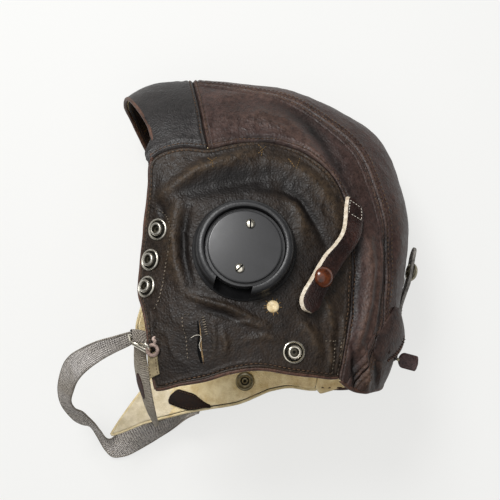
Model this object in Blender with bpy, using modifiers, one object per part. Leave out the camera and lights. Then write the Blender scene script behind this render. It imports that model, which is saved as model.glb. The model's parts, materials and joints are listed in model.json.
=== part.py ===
"""Leather flying helmet lying on its right side, with receivers, press studs, goggle tabs and chin strap.

Metres. Z points up from the table, X towards the wearer's back, Y towards the crown. A place on the
shell is an angle about the line of the ears (0 back, 90 crown, 180 face, 270 neck) and a level
(1 at the left ear, 0 on the middle plane, -1 at the right ear).
"""
import math

import bmesh
import bpy
from mathutils import Matrix, Vector

MM = 0.001

# Driving sizes of the shell
CROWN_REACH = 150 * MM
HALF_WIDTH_LEFT = 76 * MM
HALF_WIDTH_RIGHT = 70 * MM
EAR_LINE_HEIGHT = 77 * MM
EAR_LINE_X = 3 * MM
EAR_LINE_Y = 5 * MM
STRAP_FIELD_SHARE = 226 / 150
STRAP_FIELD = CROWN_REACH * STRAP_FIELD_SHARE
STRAP_FIELD_X = 11 * MM
STRAP_FIELD_Y = 23 * MM
ROLL_DEG = 14
YAW_DEG = 3
BOXINESS = 2.4

# Reach of the shell about the ear line, every 15 degrees from the back, as shares of CROWN_REACH
REACH_SHARES = [0.88, 0.94, 1.0, 1.065, 1.05, 1.055, 1.05, 1.10, 1.155, 1.08, 0.80, 0.66,
                0.62, 0.64, 0.74, 0.90, 1.06, 1.16, 1.18, 1.16, 1.08, 0.985, 0.925, 0.865]

# Seams and free edges: angle in degrees, level as a share of the way from the middle plane to the ear
CROWN_SEAM_SHARES = [(-60, 0.42), (-34, 0.405), (-23, 0.378), (-7, 0.40), (9, 0.445), (20, 0.47), (35, 0.483),
                     (50, 0.468), (66, 0.41), (84, 0.36), (104, 0.30), (112, 0.29)]
EAR_SEAM_SHARES = [(-52.5, 0.525), (-41, 0.579), (-24, 0.602), (-9, 0.611), (0, 0.631), (15, 0.648), (31, 0.655),
                   (47, 0.669), (62, 0.658), (87, 0.678), (109, 0.715), (122, 0.68), (134.5, 0.632)]
FRONT_EDGE_SHARES = [(134.5, 0.632), (142, 0.615), (150, 0.559), (165.5, 0.472), (187.5, 0.413), (198, 0.415),
                     (209, 0.491), (219, 0.536), (229.6, 0.538), (237.7, 0.507)]
FRONT_EDGE_RIGHT_SHARES = [(134.5, 0.632), (142, 0.615), (150, 0.559), (165.5, 0.472), (187.5, 0.413), (198, 0.418),
                           (204, 0.455), (210, 0.53), (217, 0.61), (224, 0.655), (231, 0.665), (237.7, 0.46)]
NECK_EDGE_SHARES = [(237.7, 0.507), (245, 0.608), (255.6, 0.684), (264, 0.718), (276.7, 0.728), (287, 0.698),
                    (299, 0.619), (307.5, 0.525)]
NECK_EDGE_RIGHT_SHARES = [(237.7, 0.46), (244.5, 0.578), (254.5, 0.652), (263.5, 0.675), (276, 0.679), (284, 0.684),
                          (290.5, 0.676), (299.5, 0.628), (307.5, 0.525)]
BROW_EDGE_SHARES = [(0, 124.5), (0.2, 124), (0.5, 125.2), (0.592, 128.4), (0.632, 134.5), (0.75, 140)]
BROW_SEAM_SHARES = [(0, 104), (0.26, 105), (0.535, 106.4), (0.715, 108.8), (0.8, 110)]
NAPE_CREASE_SHARES = [(0, -21), (0.2, -26), (0.42, -34)]
NAPE_EDGE_SHARES = [(0, -38), (0.23, -43.8), (0.42, -50.4), (0.55, -53)]
NAPE_EDGE_RIGHT_SHARES = [(0, -38), (0.23, -40.2), (0.42, -46.5), (0.55, -53)]
EAR_PANEL_CORNERS = [-52.5, 134.5, 237.7, 307.5]
EAR_PANEL_COLUMNS = [25, 14, 10]

# Steps of the frames on the shell, in degrees and in level
FRAME_STEP_DEG = 0.5
FRAME_STEP_SHARE = 0.01

# Facets of the panels
STRIP_COLUMNS = 22
BROW_COLUMNS = 6
SKIRT_COLUMNS = 4
ACROSS_ROWS = 8
BROW_ROWS = 14
CROWN_COLUMNS = 21
CROWN_ROWS = 4
RING_ROWS = 6
LINING_COLUMNS = 26
LINING_ROWS = 14

# Skins
LEATHER_THICKNESS = 1.6 * MM
LINING_THICKNESS = 1.2 * MM
LINING_GAP = 0.8 * MM
CROWN_LINING_SLACK = 0.5 * MM
SEAM_GAP = 0.9 * MM
LEVEL_GAP_SHARE = 1.6
ANGLE_GAP_SHARE = 1.5
LINING_MARGIN = 2.5 * MM
TOUCH_GAP = 0.3 * MM

# Receivers, about the axis of each ear
HOUSING_RADIUS = 35 * MM
HOUSING_WALL = 6 * MM
HOUSING_BASE = -8.5 * MM
HOUSING_RISE = 12.5 * MM
SHANK_SHARE = 0.96
HOLE_CLEARANCE = 1 * MM
HOLE_RADIUS_RIGHT = HOUSING_RADIUS + HOLE_CLEARANCE
HOLE_RADIUS_LEFT = HOUSING_RADIUS * SHANK_SHARE + HOLE_CLEARANCE
BORE = HOUSING_RADIUS - HOUSING_WALL
CASE_RADIUS = BORE - TOUCH_GAP
CASE_HEIGHT = 9.5 * MM
CASE_RECESS = 2 * MM
CASE_TOP_SHARE = 0.916
CASE_WALL = 1.8 * MM
CASE_CEILING_SHARE = 0.55
MAGNET_RADIUS = CASE_RADIUS * 0.56
MAGNET_HEIGHT = 4 * MM
COIL_RADIUS = CASE_RADIUS * 0.35
COIL_HEIGHT = 3 * MM
DIAPHRAGM_THICKNESS = 0.5 * MM
EAR_CAP_HEIGHT = 4 * MM
NOTCH_ANGLE_DEG = 250
NOTCH_WIDTH = HOUSING_RADIUS * 0.714
NOTCH_DEPTH = 5.5 * MM
SCREW_RADIUS = 3.4 * MM
SCREW_HEIGHT = 1.4 * MM
SCREW_SLOT = 0.8 * MM
SCREW_OFFSET = CASE_RADIUS * 0.578
SCREW_LINE_DEG = 77
EAR_PAD_RADIUS = HOUSING_RADIUS * 1.314
EAR_PAD_HOLE = HOUSING_RADIUS * 0.686
EAR_PAD_HEIGHT = 7 * MM

# The right side slumps on the table
SLUMP_SOFTNESS = 3 * MM
SLUMP_LIMIT = 30
TABLE_LIFT = 0.2 * MM
EAR_SEAT_HEIGHT = HOUSING_RISE
EAR_SEAT_INNER = HOUSING_RADIUS * 1.2
EAR_SEAT_OUTER = HOUSING_RADIUS * 2.286
FLAP_FORWARD = 40 * MM
FLAP_DOWN = 28 * MM
FLAP_DROP = 30 * MM
FLAP_START = 45 * MM
FLAP_RUN = 70 * MM
FLAP_ANGLE_DEG = 232
FLAP_SPREAD_DEG = 38
FLAP_MOST_SHARE = 1.3

# Press studs
STUD_RADIUS = 8 * MM
STUD_HEIGHT = 4.2 * MM
STUD_BACK_RADIUS = 8 * MM
STUD_BACK_HEIGHT = 1.6 * MM
EYELET_RADIUS = 4.2 * MM
EYELET_HEIGHT = 1.2 * MM
MASK_STUD_SHARES = [(164.4, 0.592), (183.7, 0.519), (199.2, 0.505)]
LEAD_STUD_SHARE = (295.8, 0.724)
LEAD_STUD_RIGHT_SHARE = (278.6, 0.745)
EYELET_SHARE = (296.4, 0.863)

# Goggle tabs: angle, level and lift above the leather as a share of TAB_BOW
TAB_WIDTH = 14.4 * MM
TAB_THICKNESS = 2.4 * MM
TAB_BOW = 5 * MM
TAB_ROLL_DEG = 20
TAB_HINGE_GAP = 0.5 * MM
TAB_SEWN_SHARES = [(28.5, 0.612, 0.14), (24, 0.624, 0.14)]
TAB_FREE_SHARES = [(19.4, 0.637, 0.18), (15.2, 0.65, 0.45), (10, 0.663, 0.75), (4.2, 0.689, 0.95),
                   (-2.6, 0.718, 1.0), (-18.6, 0.748, 1.0), (-27, 0.766, 0.95), (-36.7, 0.779, 0.85),
                   (-43, 0.779, 0.8)]
TAB_CAP_STATION = 5
CAP_RADIUS = 7.4 * MM
CAP_HEIGHT = 4.2 * MM
CAP_SEAT = 0.8 * MM
TAB_STUD_RADIUS = 5 * MM
TAB_STUD_HEIGHT = 1.8 * MM
REAR_SEWN_SHARES = [(-16, 0, 0.14), (-13.5, 0, 0.14)]
REAR_FREE_SHARES = [(-11.3, 0, 0.22), (-7.5, 0, 0.5), (-3, 0, 0.85), (2, 0, 1.0), (6, 0, 1.1), (9.5, 0, 1.3)]
REAR_CAP_STATION = 3

# Chin strap: route of its two edges and thickness, as shares of STRAP_FIELD
WEB_THICKNESS = 1.5 * MM
WEB_EDGE_SHARES = [
    ((-0.436, -0.278, 0.673), (-0.429, -0.327, 0.637)),
    ((-0.491, -0.295, 0.633), (-0.483, -0.357, 0.602)), ((-0.551, -0.323, 0.558), (-0.536, -0.397, 0.549)),
    ((-0.614, -0.361, 0.469), (-0.588, -0.445, 0.460)), ((-0.667, -0.420, 0.372), (-0.627, -0.496, 0.363)),
    ((-0.704, -0.504, 0.274), (-0.657, -0.558, 0.274)), ((-0.708, -0.588, 0.195), (-0.644, -0.596, 0.230)),
    ((-0.669, -0.669, 0.115), (-0.605, -0.643, 0.168)), ((-0.618, -0.739, 0.044), (-0.569, -0.704, 0.097)),
    ((-0.557, -0.815, 0.023), (-0.532, -0.740, 0.044)), ((-0.477, -0.811, 0.016), (-0.477, -0.711, 0.022)),
    ((-0.402, -0.772, 0.014), (-0.401, -0.683, 0.019)), ((-0.326, -0.723, 0.015), (-0.324, -0.653, 0.026))]
WEB_END_SHARES = [(257, 0.64, 0.72), (261, 0.66, 0.74)]
TAIL_EDGE_SHARES = [
    ((-0.371, -0.339, 0.642), (-0.328, -0.339, 0.664)),
    ((-0.373, -0.385, 0.606), (-0.323, -0.397, 0.64)), ((-0.368, -0.442, 0.56), (-0.321, -0.45, 0.606)),
    ((-0.351, -0.533, 0.496), (-0.315, -0.531, 0.544)), ((-0.328, -0.611, 0.434), (-0.314, -0.598, 0.447))]
FRAME_WIRE_RADIUS = 1.0 * MM
FRAME_REACH = 9.5 * MM
FRAME_INNER_WIDTH = 15 * MM
BAR_LINE_SHARE = (0.86, -0.43, 0.30)
FRAME_DROP_SHARE = (-0.09, -0.50, -0.86)
LOOP_SHARE = 0.9
LOOP_SETBACK = 1.2 * MM
LOOP_LIFT = 2 * MM
ROLLER_RADIUS = 1.9 * MM
ROLLER_LENGTH = 12 * MM
CHAPE_SHARES = [(228.7, 0.563), (231.6, 0.552), (235.2, 0.538)]
CHAPE_WIDTH = 9 * MM
CHAPE_THICKNESS = 1.8 * MM
CHEEK_TAB_SHARES = [(246.6, 0.689), (253.1, 0.694), (259.2, 0.691), (265.2, 0.68)]
CHEEK_TAB_WIDTH = 15 * MM
CHEEK_TAB_SEAT = 0.7 * MM
STRAP_END_SHARE = 0.14
STRAP_TAPER_SHARE = 0.75
TAB_FLAT_SHARE = 0.14
TAB_LEAN_SHARE = 0.9

# Nape strap and its buckle
NAPE_STRAP_WIDTH = 13 * MM
NAPE_STRAP_THICKNESS = 1.8 * MM
NAPE_STRAP_SHARES = [(-30, 0.30, 0.16), (-28.5, 0.18, 0.16), (-28, 0.06, 0.16), (-28, -0.06, 0.16)]
NAPE_END_SHARE = (-29, -0.02)
NAPE_END_LENGTH = 16 * MM
NAPE_BAR_RADIUS = 1.2 * MM
NAPE_BAR_LENGTH = 15 * MM
NAPE_BAR_LIFT = 4.8 * MM

# Facets of turned pieces, and distances at which their points join
WELD = 0.05 * MM
WIRE_WELD = 0.02 * MM
TURN_STEPS = 32
STUD_STEPS = 16
WIRE_SIDES = 2

BROWN = (0.042, 0.026, 0.021)
DARK_BROWN = (0.022, 0.016, 0.014)
CHARCOAL = (0.030, 0.028, 0.027)
TAN = (0.48, 0.36, 0.20)
RED_BROWN = (0.085, 0.030, 0.018)
CREAM = (0.70, 0.62, 0.48)
RUBBER_BLACK = (0.012, 0.012, 0.013)
CASE_GREY = (0.030, 0.031, 0.033)
NICKEL = (0.60, 0.58, 0.53)
STEEL = (0.45, 0.46, 0.45)
COPPER = (0.55, 0.25, 0.12)
WEB_GREY = (0.20, 0.19, 0.17)

for old in list(bpy.data.objects):
    bpy.data.objects.remove(old, do_unlink=True)
HELMET = bpy.data.collections.new("flying_helmet")
CUTTERS = bpy.data.collections.new("cutters")
bpy.context.scene.collection.children.link(HELMET)
bpy.context.scene.collection.children.link(CUTTERS)


def follow(table, place):
    """Read a smooth curve through the table's points."""
    if place <= table[0][0]:
        return table[0][1]
    if place >= table[-1][0]:
        return table[-1][1]
    step = max(i for i in range(len(table) - 1) if table[i][0] <= place)

    def slope(i):
        low = table[max(i - 1, 0)]
        high = table[min(i + 1, len(table) - 1)]
        return (high[1] - low[1]) / (high[0] - low[0])

    span = table[step + 1][0] - table[step][0]
    u = (place - table[step][0]) / span
    start = table[step][1]
    rise = table[step + 1][1] - start
    lead = slope(step) * span
    tail = slope(step + 1) * span
    return start + u * (lead + u * (3 * rise - 2 * lead - tail + u * (lead + tail - 2 * rise)))


def reach(angle):
    """Distance from the ear line to the shell on the middle plane."""
    count = len(REACH_SHARES)
    place = (angle % 360) / 360 * count
    i = int(place) % count
    u = place - int(place)
    a, b, c, d = (REACH_SHARES[(i + k) % count] for k in (-1, 0, 1, 2))
    return CROWN_REACH * (b + 0.5 * u * (c - a + u * (2 * a - 5 * b + 4 * c - d + u * (3 * (b - c) + d - a))))


def fade(value, start, end):
    """Smooth step that is 0 at start and 1 at end."""
    t = min(max((value - start) / (end - start), 0), 1)
    return t * t * (3 - 2 * t)


def shell_point(angle, level):
    """Point on the outer face of the leather."""
    turn = level * math.pi / 2
    out = reach(angle) * max(math.cos(turn), 0) ** (2 / BOXINESS)
    half = HALF_WIDTH_LEFT if level >= 0 else HALF_WIDTH_RIGHT
    across = math.copysign(half * abs(math.sin(turn)) ** (2 / BOXINESS), level)
    along = out * math.cos(math.radians(angle))
    up = out * math.sin(math.radians(angle))
    drop = 0
    if level < 0:
        off = (angle % 360 - FLAP_ANGLE_DEG) / FLAP_SPREAD_DEG
        pull = math.exp(-off * off) * min(max((out - FLAP_START) / FLAP_RUN, 0), FLAP_MOST_SHARE)
        along -= FLAP_FORWARD * pull
        up -= FLAP_DOWN * pull
        drop = FLAP_DROP * pull
    roll = math.radians(ROLL_DEG)
    yaw = math.radians(YAW_DEG)
    side = across * math.cos(yaw) - along * math.sin(yaw)
    x = EAR_LINE_X + along * math.cos(yaw) + across * math.sin(yaw)
    y = EAR_LINE_Y + up * math.cos(roll) + side * math.sin(roll)
    z = EAR_LINE_HEIGHT - up * math.sin(roll) + side * math.cos(roll) - drop
    if level < 0:
        seat = 1 - fade(out, EAR_SEAT_INNER, EAR_SEAT_OUTER)
        z = z * (1 - seat) + EAR_SEAT_HEIGHT * seat
        rise = (z - TABLE_LIFT) / SLUMP_SOFTNESS
        if rise < SLUMP_LIMIT:
            z = TABLE_LIFT + SLUMP_SOFTNESS * math.log(1 + math.exp(rise))
    return Vector((x, y, z))


def shell_frame(angle, level, lift=0):
    """Frame on the leather: Z outwards, X along rising angle, at a lift above the outer face."""
    along = shell_point(angle + FRAME_STEP_DEG, level) - shell_point(angle - FRAME_STEP_DEG, level)
    inwards = shell_point(angle, level + FRAME_STEP_SHARE) - shell_point(angle, level - FRAME_STEP_SHARE)
    normal = along.cross(inwards).normalized()
    middle = Vector((EAR_LINE_X, EAR_LINE_Y, EAR_LINE_HEIGHT))
    place = shell_point(angle, level)
    if normal.dot(place - middle) < 0:
        normal = -normal
    return frame_at(place + normal * lift, along, normal)


def frame_at(place, towards, normal):
    """Matrix at a place with Z along normal and X near towards."""
    z = normal.normalized()
    x = (towards - z * towards.dot(z)).normalized()
    y = z.cross(x)
    matrix = Matrix((x, y, z)).transposed().to_4x4()
    matrix.translation = place
    return matrix


def seat_frame(angle, level, radius):
    """Frame for a flat disc that lies on the leather, lifted clear of any rise under it."""
    seat = shell_frame(angle, level)
    inverse = seat.inverted()
    most = 0
    for turn in range(0, 360, 30):
        for share in (0.5, 1.0):
            reach_here = radius * share
            step_angle = math.degrees(reach_here / EAR_SEAT_OUTER) * math.cos(math.radians(turn))
            step_level = reach_here / HALF_WIDTH_LEFT * math.sin(math.radians(turn))
            near = inverse @ shell_point(angle + step_angle, level + step_level)
            if near.xy.length < radius * 1.3:
                most = max(most, near.z)
    return shell_frame(angle, level, most)


def hole_level(angle, radius):
    """Level at which the shell is a given distance from the ear line."""
    return math.acos((radius / reach(angle)) ** (BOXINESS / 2)) * 2 / math.pi


def make_material(name, colour, roughness, metallic):
    material = bpy.data.materials.new(name)
    material.use_nodes = True
    shader = material.node_tree.nodes["Principled BSDF"]
    shader.inputs["Base Color"].default_value = (*colour, 1)
    shader.inputs["Roughness"].default_value = roughness
    shader.inputs["Metallic"].default_value = metallic
    return material


def add_object(name, mesh, colour, roughness=0.6, metallic=0.0, parent=None, matrix=None):
    item = bpy.data.objects.new(name, mesh)
    HELMET.objects.link(item)
    mesh.materials.append(make_material(name, colour, roughness, metallic))
    if matrix is not None:
        item.matrix_world = matrix
    if parent is not None:
        item.parent = parent
        item.matrix_parent_inverse = parent.matrix_world.inverted()
    return item


def pivot(name, place, axis):
    """Empty on a joint's axis, with its X along the axis."""
    empty = bpy.data.objects.new(name, None)
    HELMET.objects.link(empty)
    turn = axis.normalized().to_track_quat("X", "Z")
    empty.matrix_world = Matrix.Translation(place) @ turn.to_matrix().to_4x4()
    bpy.context.view_layer.update()
    return empty


def skin(name, columns, rows, place, thickness, colour, closed=False, parent=None, roughness=0.6, outward=None):
    """Grid laid on a surface and thickened inwards; place maps two shares to a point."""
    mesh = bpy.data.meshes.new(name)
    bm = bmesh.new()
    bmesh.ops.create_grid(bm, x_segments=columns, y_segments=rows, size=0.5)
    for vert in bm.verts:
        vert.co = place(vert.co.x + 0.5, vert.co.y + 0.5)
    if closed:
        bmesh.ops.remove_doubles(bm, verts=bm.verts, dist=WELD)
    bm.normal_update()
    middle = Vector((EAR_LINE_X, EAR_LINE_Y, EAR_LINE_HEIGHT))
    facing = sum(f.normal.dot(outward if outward else f.calc_center_median() - middle) * f.calc_area()
                 for f in bm.faces)
    if facing < 0:
        bmesh.ops.reverse_faces(bm, faces=bm.faces)
    bm.to_mesh(mesh)
    bm.free()
    mesh.shade_smooth()
    item = add_object(name, mesh, colour, roughness, parent=parent)
    solid = item.modifiers.new("thickness", "SOLIDIFY")
    solid.thickness = thickness
    solid.offset = -1
    return item


def panel(name, side, columns, rows, low, high, start, end, colour, lift=0, thickness=LEATHER_THICKNESS):
    """Panel between two level curves and two angle curves, on the left (1) or right (-1)."""
    def place(u, w):
        first, last = start(side / 2), end(side / 2)
        angle = first + (last - first) * u
        level = side * (low(angle) + (high(angle) - low(angle)) * w)
        angle = start(level) + (end(level) - start(level)) * u
        level = low(angle) + (high(angle) - low(angle)) * w
        return shell_frame(angle, side * level, lift).translation
    return skin(name, columns, rows, place, thickness, colour)


def across_panel(name, columns, rows, edge, start, end, colour, lift=0, thickness=LEATHER_THICKNESS):
    """Panel that crosses the middle plane, between an edge curve on each side."""
    def place(u, w):
        side = 2 * w - 1
        angle = start(0) + (end(0) - start(0)) * u
        level = side * edge(angle)
        angle = start(level) + (end(level) - start(level)) * u
        level = side * edge(angle)
        return shell_frame(angle, level, lift).translation
    return skin(name, columns, rows, place, thickness, colour)


def turned(name, shares, radius, height, base, frame, colour, roughness=0.4, metallic=0.0, steps=TURN_STEPS,
           closed=False, parent=None):
    """Turned piece: its profile is given in shares of its radius and height, above a base."""
    mesh = bpy.data.meshes.new(name)
    bm = bmesh.new()
    verts = [bm.verts.new((r * radius, 0, base + h * height)) for r, h in shares]
    for first, second in zip(verts, verts[1:]):
        bm.edges.new((first, second))
    if closed:
        bm.edges.new((verts[-1], verts[0]))
    bm.to_mesh(mesh)
    bm.free()
    item = add_object(name, mesh, colour, roughness, metallic, parent, frame)
    screw = item.modifiers.new("turn", "SCREW")
    screw.steps = steps
    screw.render_steps = steps
    screw.use_merge_vertices = True
    screw.merge_threshold = WELD
    return item


def box_cutter(name, size, frame):
    mesh = bpy.data.meshes.new(name)
    bm = bmesh.new()
    bmesh.ops.create_cube(bm, size=1)
    bmesh.ops.scale(bm, vec=size, verts=bm.verts)
    bm.to_mesh(mesh)
    bm.free()
    cutter = bpy.data.objects.new(name, mesh)
    CUTTERS.objects.link(cutter)
    cutter.matrix_world = frame
    cutter.hide_render = True
    cutter.display_type = "WIRE"
    return cutter


def cut(item, cutter):
    boolean = item.modifiers.new("cut", "BOOLEAN")
    boolean.operation = "DIFFERENCE"
    boolean.object = cutter


def wire(name, points, radius, colour, cyclic=False, parent=None):
    """Round wire through points, made a mesh with welded caps."""
    curve = bpy.data.curves.new(name, "CURVE")
    curve.dimensions = "3D"
    curve.bevel_depth = radius
    curve.bevel_resolution = WIRE_SIDES
    curve.use_fill_caps = True
    spline = curve.splines.new("POLY")
    spline.points.add(len(points) - 1)
    for knot, point in zip(spline.points, points):
        knot.co = (*point, 1)
    spline.use_cyclic_u = cyclic
    source = bpy.data.objects.new(name + "_path", curve)
    HELMET.objects.link(source)
    bpy.context.view_layer.update()
    mesh = bpy.data.meshes.new_from_object(source.evaluated_get(bpy.context.evaluated_depsgraph_get()))
    bpy.data.objects.remove(source, do_unlink=True)
    bm = bmesh.new()
    bm.from_mesh(mesh)
    bmesh.ops.remove_doubles(bm, verts=bm.verts, dist=WIRE_WELD)
    bmesh.ops.recalc_face_normals(bm, faces=bm.faces)
    bm.to_mesh(mesh)
    bm.free()
    mesh.materials.clear()
    return add_object(name, mesh, colour, 0.3, 1.0, parent)


def edge_ribbon(name, edges, rows, thickness, colour, parent=None):
    """Flat strap between two edges, each a list of points, smoothed between them."""
    columns = 2 * (len(edges) - 1)

    def along(side, u):
        place = u * (len(edges) - 1)
        return Vector([follow([(i, pair[side][k]) for i, pair in enumerate(edges)], place) for k in range(3)])

    def place(u, w):
        return along(0, u).lerp(along(1, u), w)
    return skin(name, columns, rows, place, thickness, colour, parent=parent, roughness=0.85)


def field(share):
    """Point of the chin strap's routes."""
    x, y, z = share
    return Vector((STRAP_FIELD_X + x * STRAP_FIELD, STRAP_FIELD_Y + y * STRAP_FIELD, z * STRAP_FIELD))


def tab_frames(shares, side, roll):
    """Frames along a tab: X along the tab, Z out of its face."""
    places = [shell_frame(a, side * l, f * TAB_BOW + TAB_THICKNESS) for a, l, f in shares]
    frames = []
    for i, here in enumerate(places):
        before = places[max(i - 1, 0)].translation
        after = places[min(i + 1, len(places) - 1)].translation
        towards = after - before
        normal = here.to_3x3().col[2]
        lean = math.radians(roll) * fade(shares[i][2], TAB_FLAT_SHARE, TAB_LEAN_SHARE)
        normal = Matrix.Rotation(side * lean, 3, towards.normalized()) @ normal
        frames.append(frame_at(here.translation, towards, normal))
    return frames


def tab_strap(name, frames, width, thickness, colour, parent=None, round_end=False):
    """Leather strap on frames, with its end rounded."""
    columns = 2 * (len(frames) - 1)

    def place(u, w):
        spot = u * (len(frames) - 1)
        i = min(int(spot), len(frames) - 2)
        f = spot - i
        centre = frames[i].translation.lerp(frames[i + 1].translation, f)
        sideways = frames[i].to_3x3().col[1].lerp(frames[i + 1].to_3x3().col[1], f)
        end = max(u - 1 + STRAP_END_SHARE, 0) / STRAP_END_SHARE if round_end else 0
        half = width / 2 * math.sqrt(max(1 - STRAP_TAPER_SHARE * end * end, 0))
        return centre + sideways * (2 * w - 1) * half
    return skin(name, columns, 2, place, thickness, colour, parent=parent, outward=frames[0].to_3x3().col[2])


def band(name, points, width, normal, thickness, colour, parent=None):
    """Flat band along points, its width square to its run and to the normal."""
    frames = []
    for i, point in enumerate(points):
        towards = points[min(i + 1, len(points) - 1)] - points[max(i - 1, 0)]
        frames.append(frame_at(point, towards, normal - towards * normal.dot(towards) / towards.dot(towards)))
    return tab_strap(name, frames, width, thickness, colour, parent)


STUD_PROFILE_SHARES = [(0, 0.34), (0.33, 0.34), (0.36, 1.0), (0.58, 1.0), (0.66, 0.8), (0.63, 0.36), (0.8, 0.32),
                       (0.93, 0.42), (1.0, 0.25), (1.0, 0), (0, 0)]
CAP_PROFILE_SHARES = [(0, 1.0), (0.35, 0.96), (0.66, 0.8), (0.88, 0.52), (1.0, 0.2), (1.0, 0), (0, 0)]
DISC_PROFILE_SHARES = [(0, 1.0), (0.9, 1.0), (1.0, 0.7), (1.0, 0), (0, 0)]


def disc(name, radius, height, base, frame, colour, roughness=0.4, metallic=0.0, steps=STUD_STEPS, parent=None):
    return turned(name, DISC_PROFILE_SHARES, radius, height, base, frame, colour, roughness, metallic, steps,
                  parent=parent)


def ring(name, outer, inner, height, base, frame, colour, roughness=0.5, metallic=0.0, steps=TURN_STEPS,
         parent=None):
    inner_share = inner / outer
    shares = [(inner_share, 1), (1, 1), (1, 0), (inner_share, 0)]
    return turned(name, shares, outer, height, base, frame, colour, roughness, metallic, steps, closed=True,
                  parent=parent)


# Leather panels
def crown_seam(angle):
    return follow(CROWN_SEAM_SHARES, angle)


def ear_seam(angle):
    return follow(EAR_SEAM_SHARES, angle)


def brow_seam(level):
    return follow(BROW_SEAM_SHARES, abs(level))


def brow_edge(level):
    return follow(BROW_EDGE_SHARES, abs(level))


def nape_crease(level):
    return follow(NAPE_CREASE_SHARES, abs(level))


def nape_edge(level):
    return follow(NAPE_EDGE_SHARES if level > 0 else NAPE_EDGE_RIGHT_SHARES, abs(level))


LEVEL_SPAN = math.pi / 2 * CROWN_REACH
LEVEL_GAP = SEAM_GAP / 2 / LEVEL_SPAN * LEVEL_GAP_SHARE
ANGLE_GAP = math.degrees(SEAM_GAP / 2 / CROWN_REACH) * ANGLE_GAP_SHARE


def ear_panel_place(side, lift, edge_margin, hole_radius):
    """Ring of leather or lining round one ear, from its outer edge to its hole."""
    starts = [0]
    for count in EAR_PANEL_COLUMNS:
        starts.append(starts[-1] + count)
    angle_steps = [(s / starts[-1], a) for s, a in zip(starts, EAR_PANEL_CORNERS)]
    margin = edge_margin / LEVEL_SPAN * LEVEL_GAP_SHARE

    def place(u, w):
        i = max(k for k in range(3) if angle_steps[k][0] <= u + 1e-6)
        first, second = angle_steps[i], angle_steps[i + 1]
        angle = first[1] + (second[1] - first[1]) * (u - first[0]) / (second[0] - first[0])
        if angle <= EAR_PANEL_CORNERS[1]:
            outer = ear_seam(angle) + LEVEL_GAP + margin
        elif angle <= EAR_PANEL_CORNERS[2]:
            front_edge = FRONT_EDGE_SHARES if side > 0 else FRONT_EDGE_RIGHT_SHARES
            outer = follow(front_edge, angle) + LEVEL_GAP + margin
        else:
            neck_edge = NECK_EDGE_SHARES if side > 0 else NECK_EDGE_RIGHT_SHARES
            outer = follow(neck_edge, angle) + LEVEL_GAP + margin
        inner = hole_level(angle, hole_radius)
        level = outer + (inner - outer) * w
        return shell_frame(angle, side * level, lift).translation
    return place


LINING_LIFT = -(LEATHER_THICKNESS + LINING_GAP)
SIDES = [("left", 1), ("right", -1)]

across_panel("brow_panel", BROW_COLUMNS, BROW_ROWS, lambda a: ear_seam(a) - 2 * LEVEL_GAP,
             lambda l: brow_seam(l) + ANGLE_GAP, brow_edge, CHARCOAL)
across_panel("crown_strip", STRIP_COLUMNS, ACROSS_ROWS, lambda a: crown_seam(a) - LEVEL_GAP,
             lambda l: nape_crease(l) + ANGLE_GAP, lambda l: brow_seam(l) - ANGLE_GAP, BROWN)
across_panel("nape_skirt", SKIRT_COLUMNS, ACROSS_ROWS, lambda a: crown_seam(a) - LEVEL_GAP,
             lambda l: nape_edge(l) + ANGLE_GAP, lambda l: nape_crease(l) - ANGLE_GAP, DARK_BROWN)
for side_name, side_sign in SIDES:
    panel("crown_panel_" + side_name, side_sign, CROWN_COLUMNS, CROWN_ROWS, lambda a: crown_seam(a) + LEVEL_GAP,
          lambda a: ear_seam(a) - LEVEL_GAP, lambda l: nape_edge(l) + ANGLE_GAP,
          lambda l: brow_seam(l) - ANGLE_GAP, BROWN)
    columns_round = sum(EAR_PANEL_COLUMNS)
    hole = HOLE_RADIUS_LEFT if side_sign > 0 else HOLE_RADIUS_RIGHT
    skin("ear_panel_" + side_name, columns_round, RING_ROWS, ear_panel_place(side_sign, 0, 0, hole),
         LEATHER_THICKNESS, DARK_BROWN, closed=True)
    skin("lining_" + side_name, columns_round, RING_ROWS,
         ear_panel_place(side_sign, LINING_LIFT, LINING_MARGIN, hole), LINING_THICKNESS, TAN, closed=True)
across_panel("lining_crown", LINING_COLUMNS, LINING_ROWS, lambda a: ear_seam(a) - LEVEL_GAP,
             lambda l: nape_edge(l) + 2 * ANGLE_GAP, lambda l: brow_edge(l) - 3 * ANGLE_GAP, TAN,
             LINING_LIFT - CROWN_LINING_SLACK, LINING_THICKNESS)


# Receivers
def ear_frame(side):
    pole = shell_point(90, side)
    if side > 0:
        roll = math.radians(ROLL_DEG)
        yaw = math.radians(YAW_DEG)
        axis = Vector((math.sin(yaw), math.cos(yaw) * math.sin(roll), math.cos(yaw) * math.cos(roll)))
    else:
        axis = Vector((0, 0, -1))
    return frame_at(pole, Vector((1, 0, 0)), axis)


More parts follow.
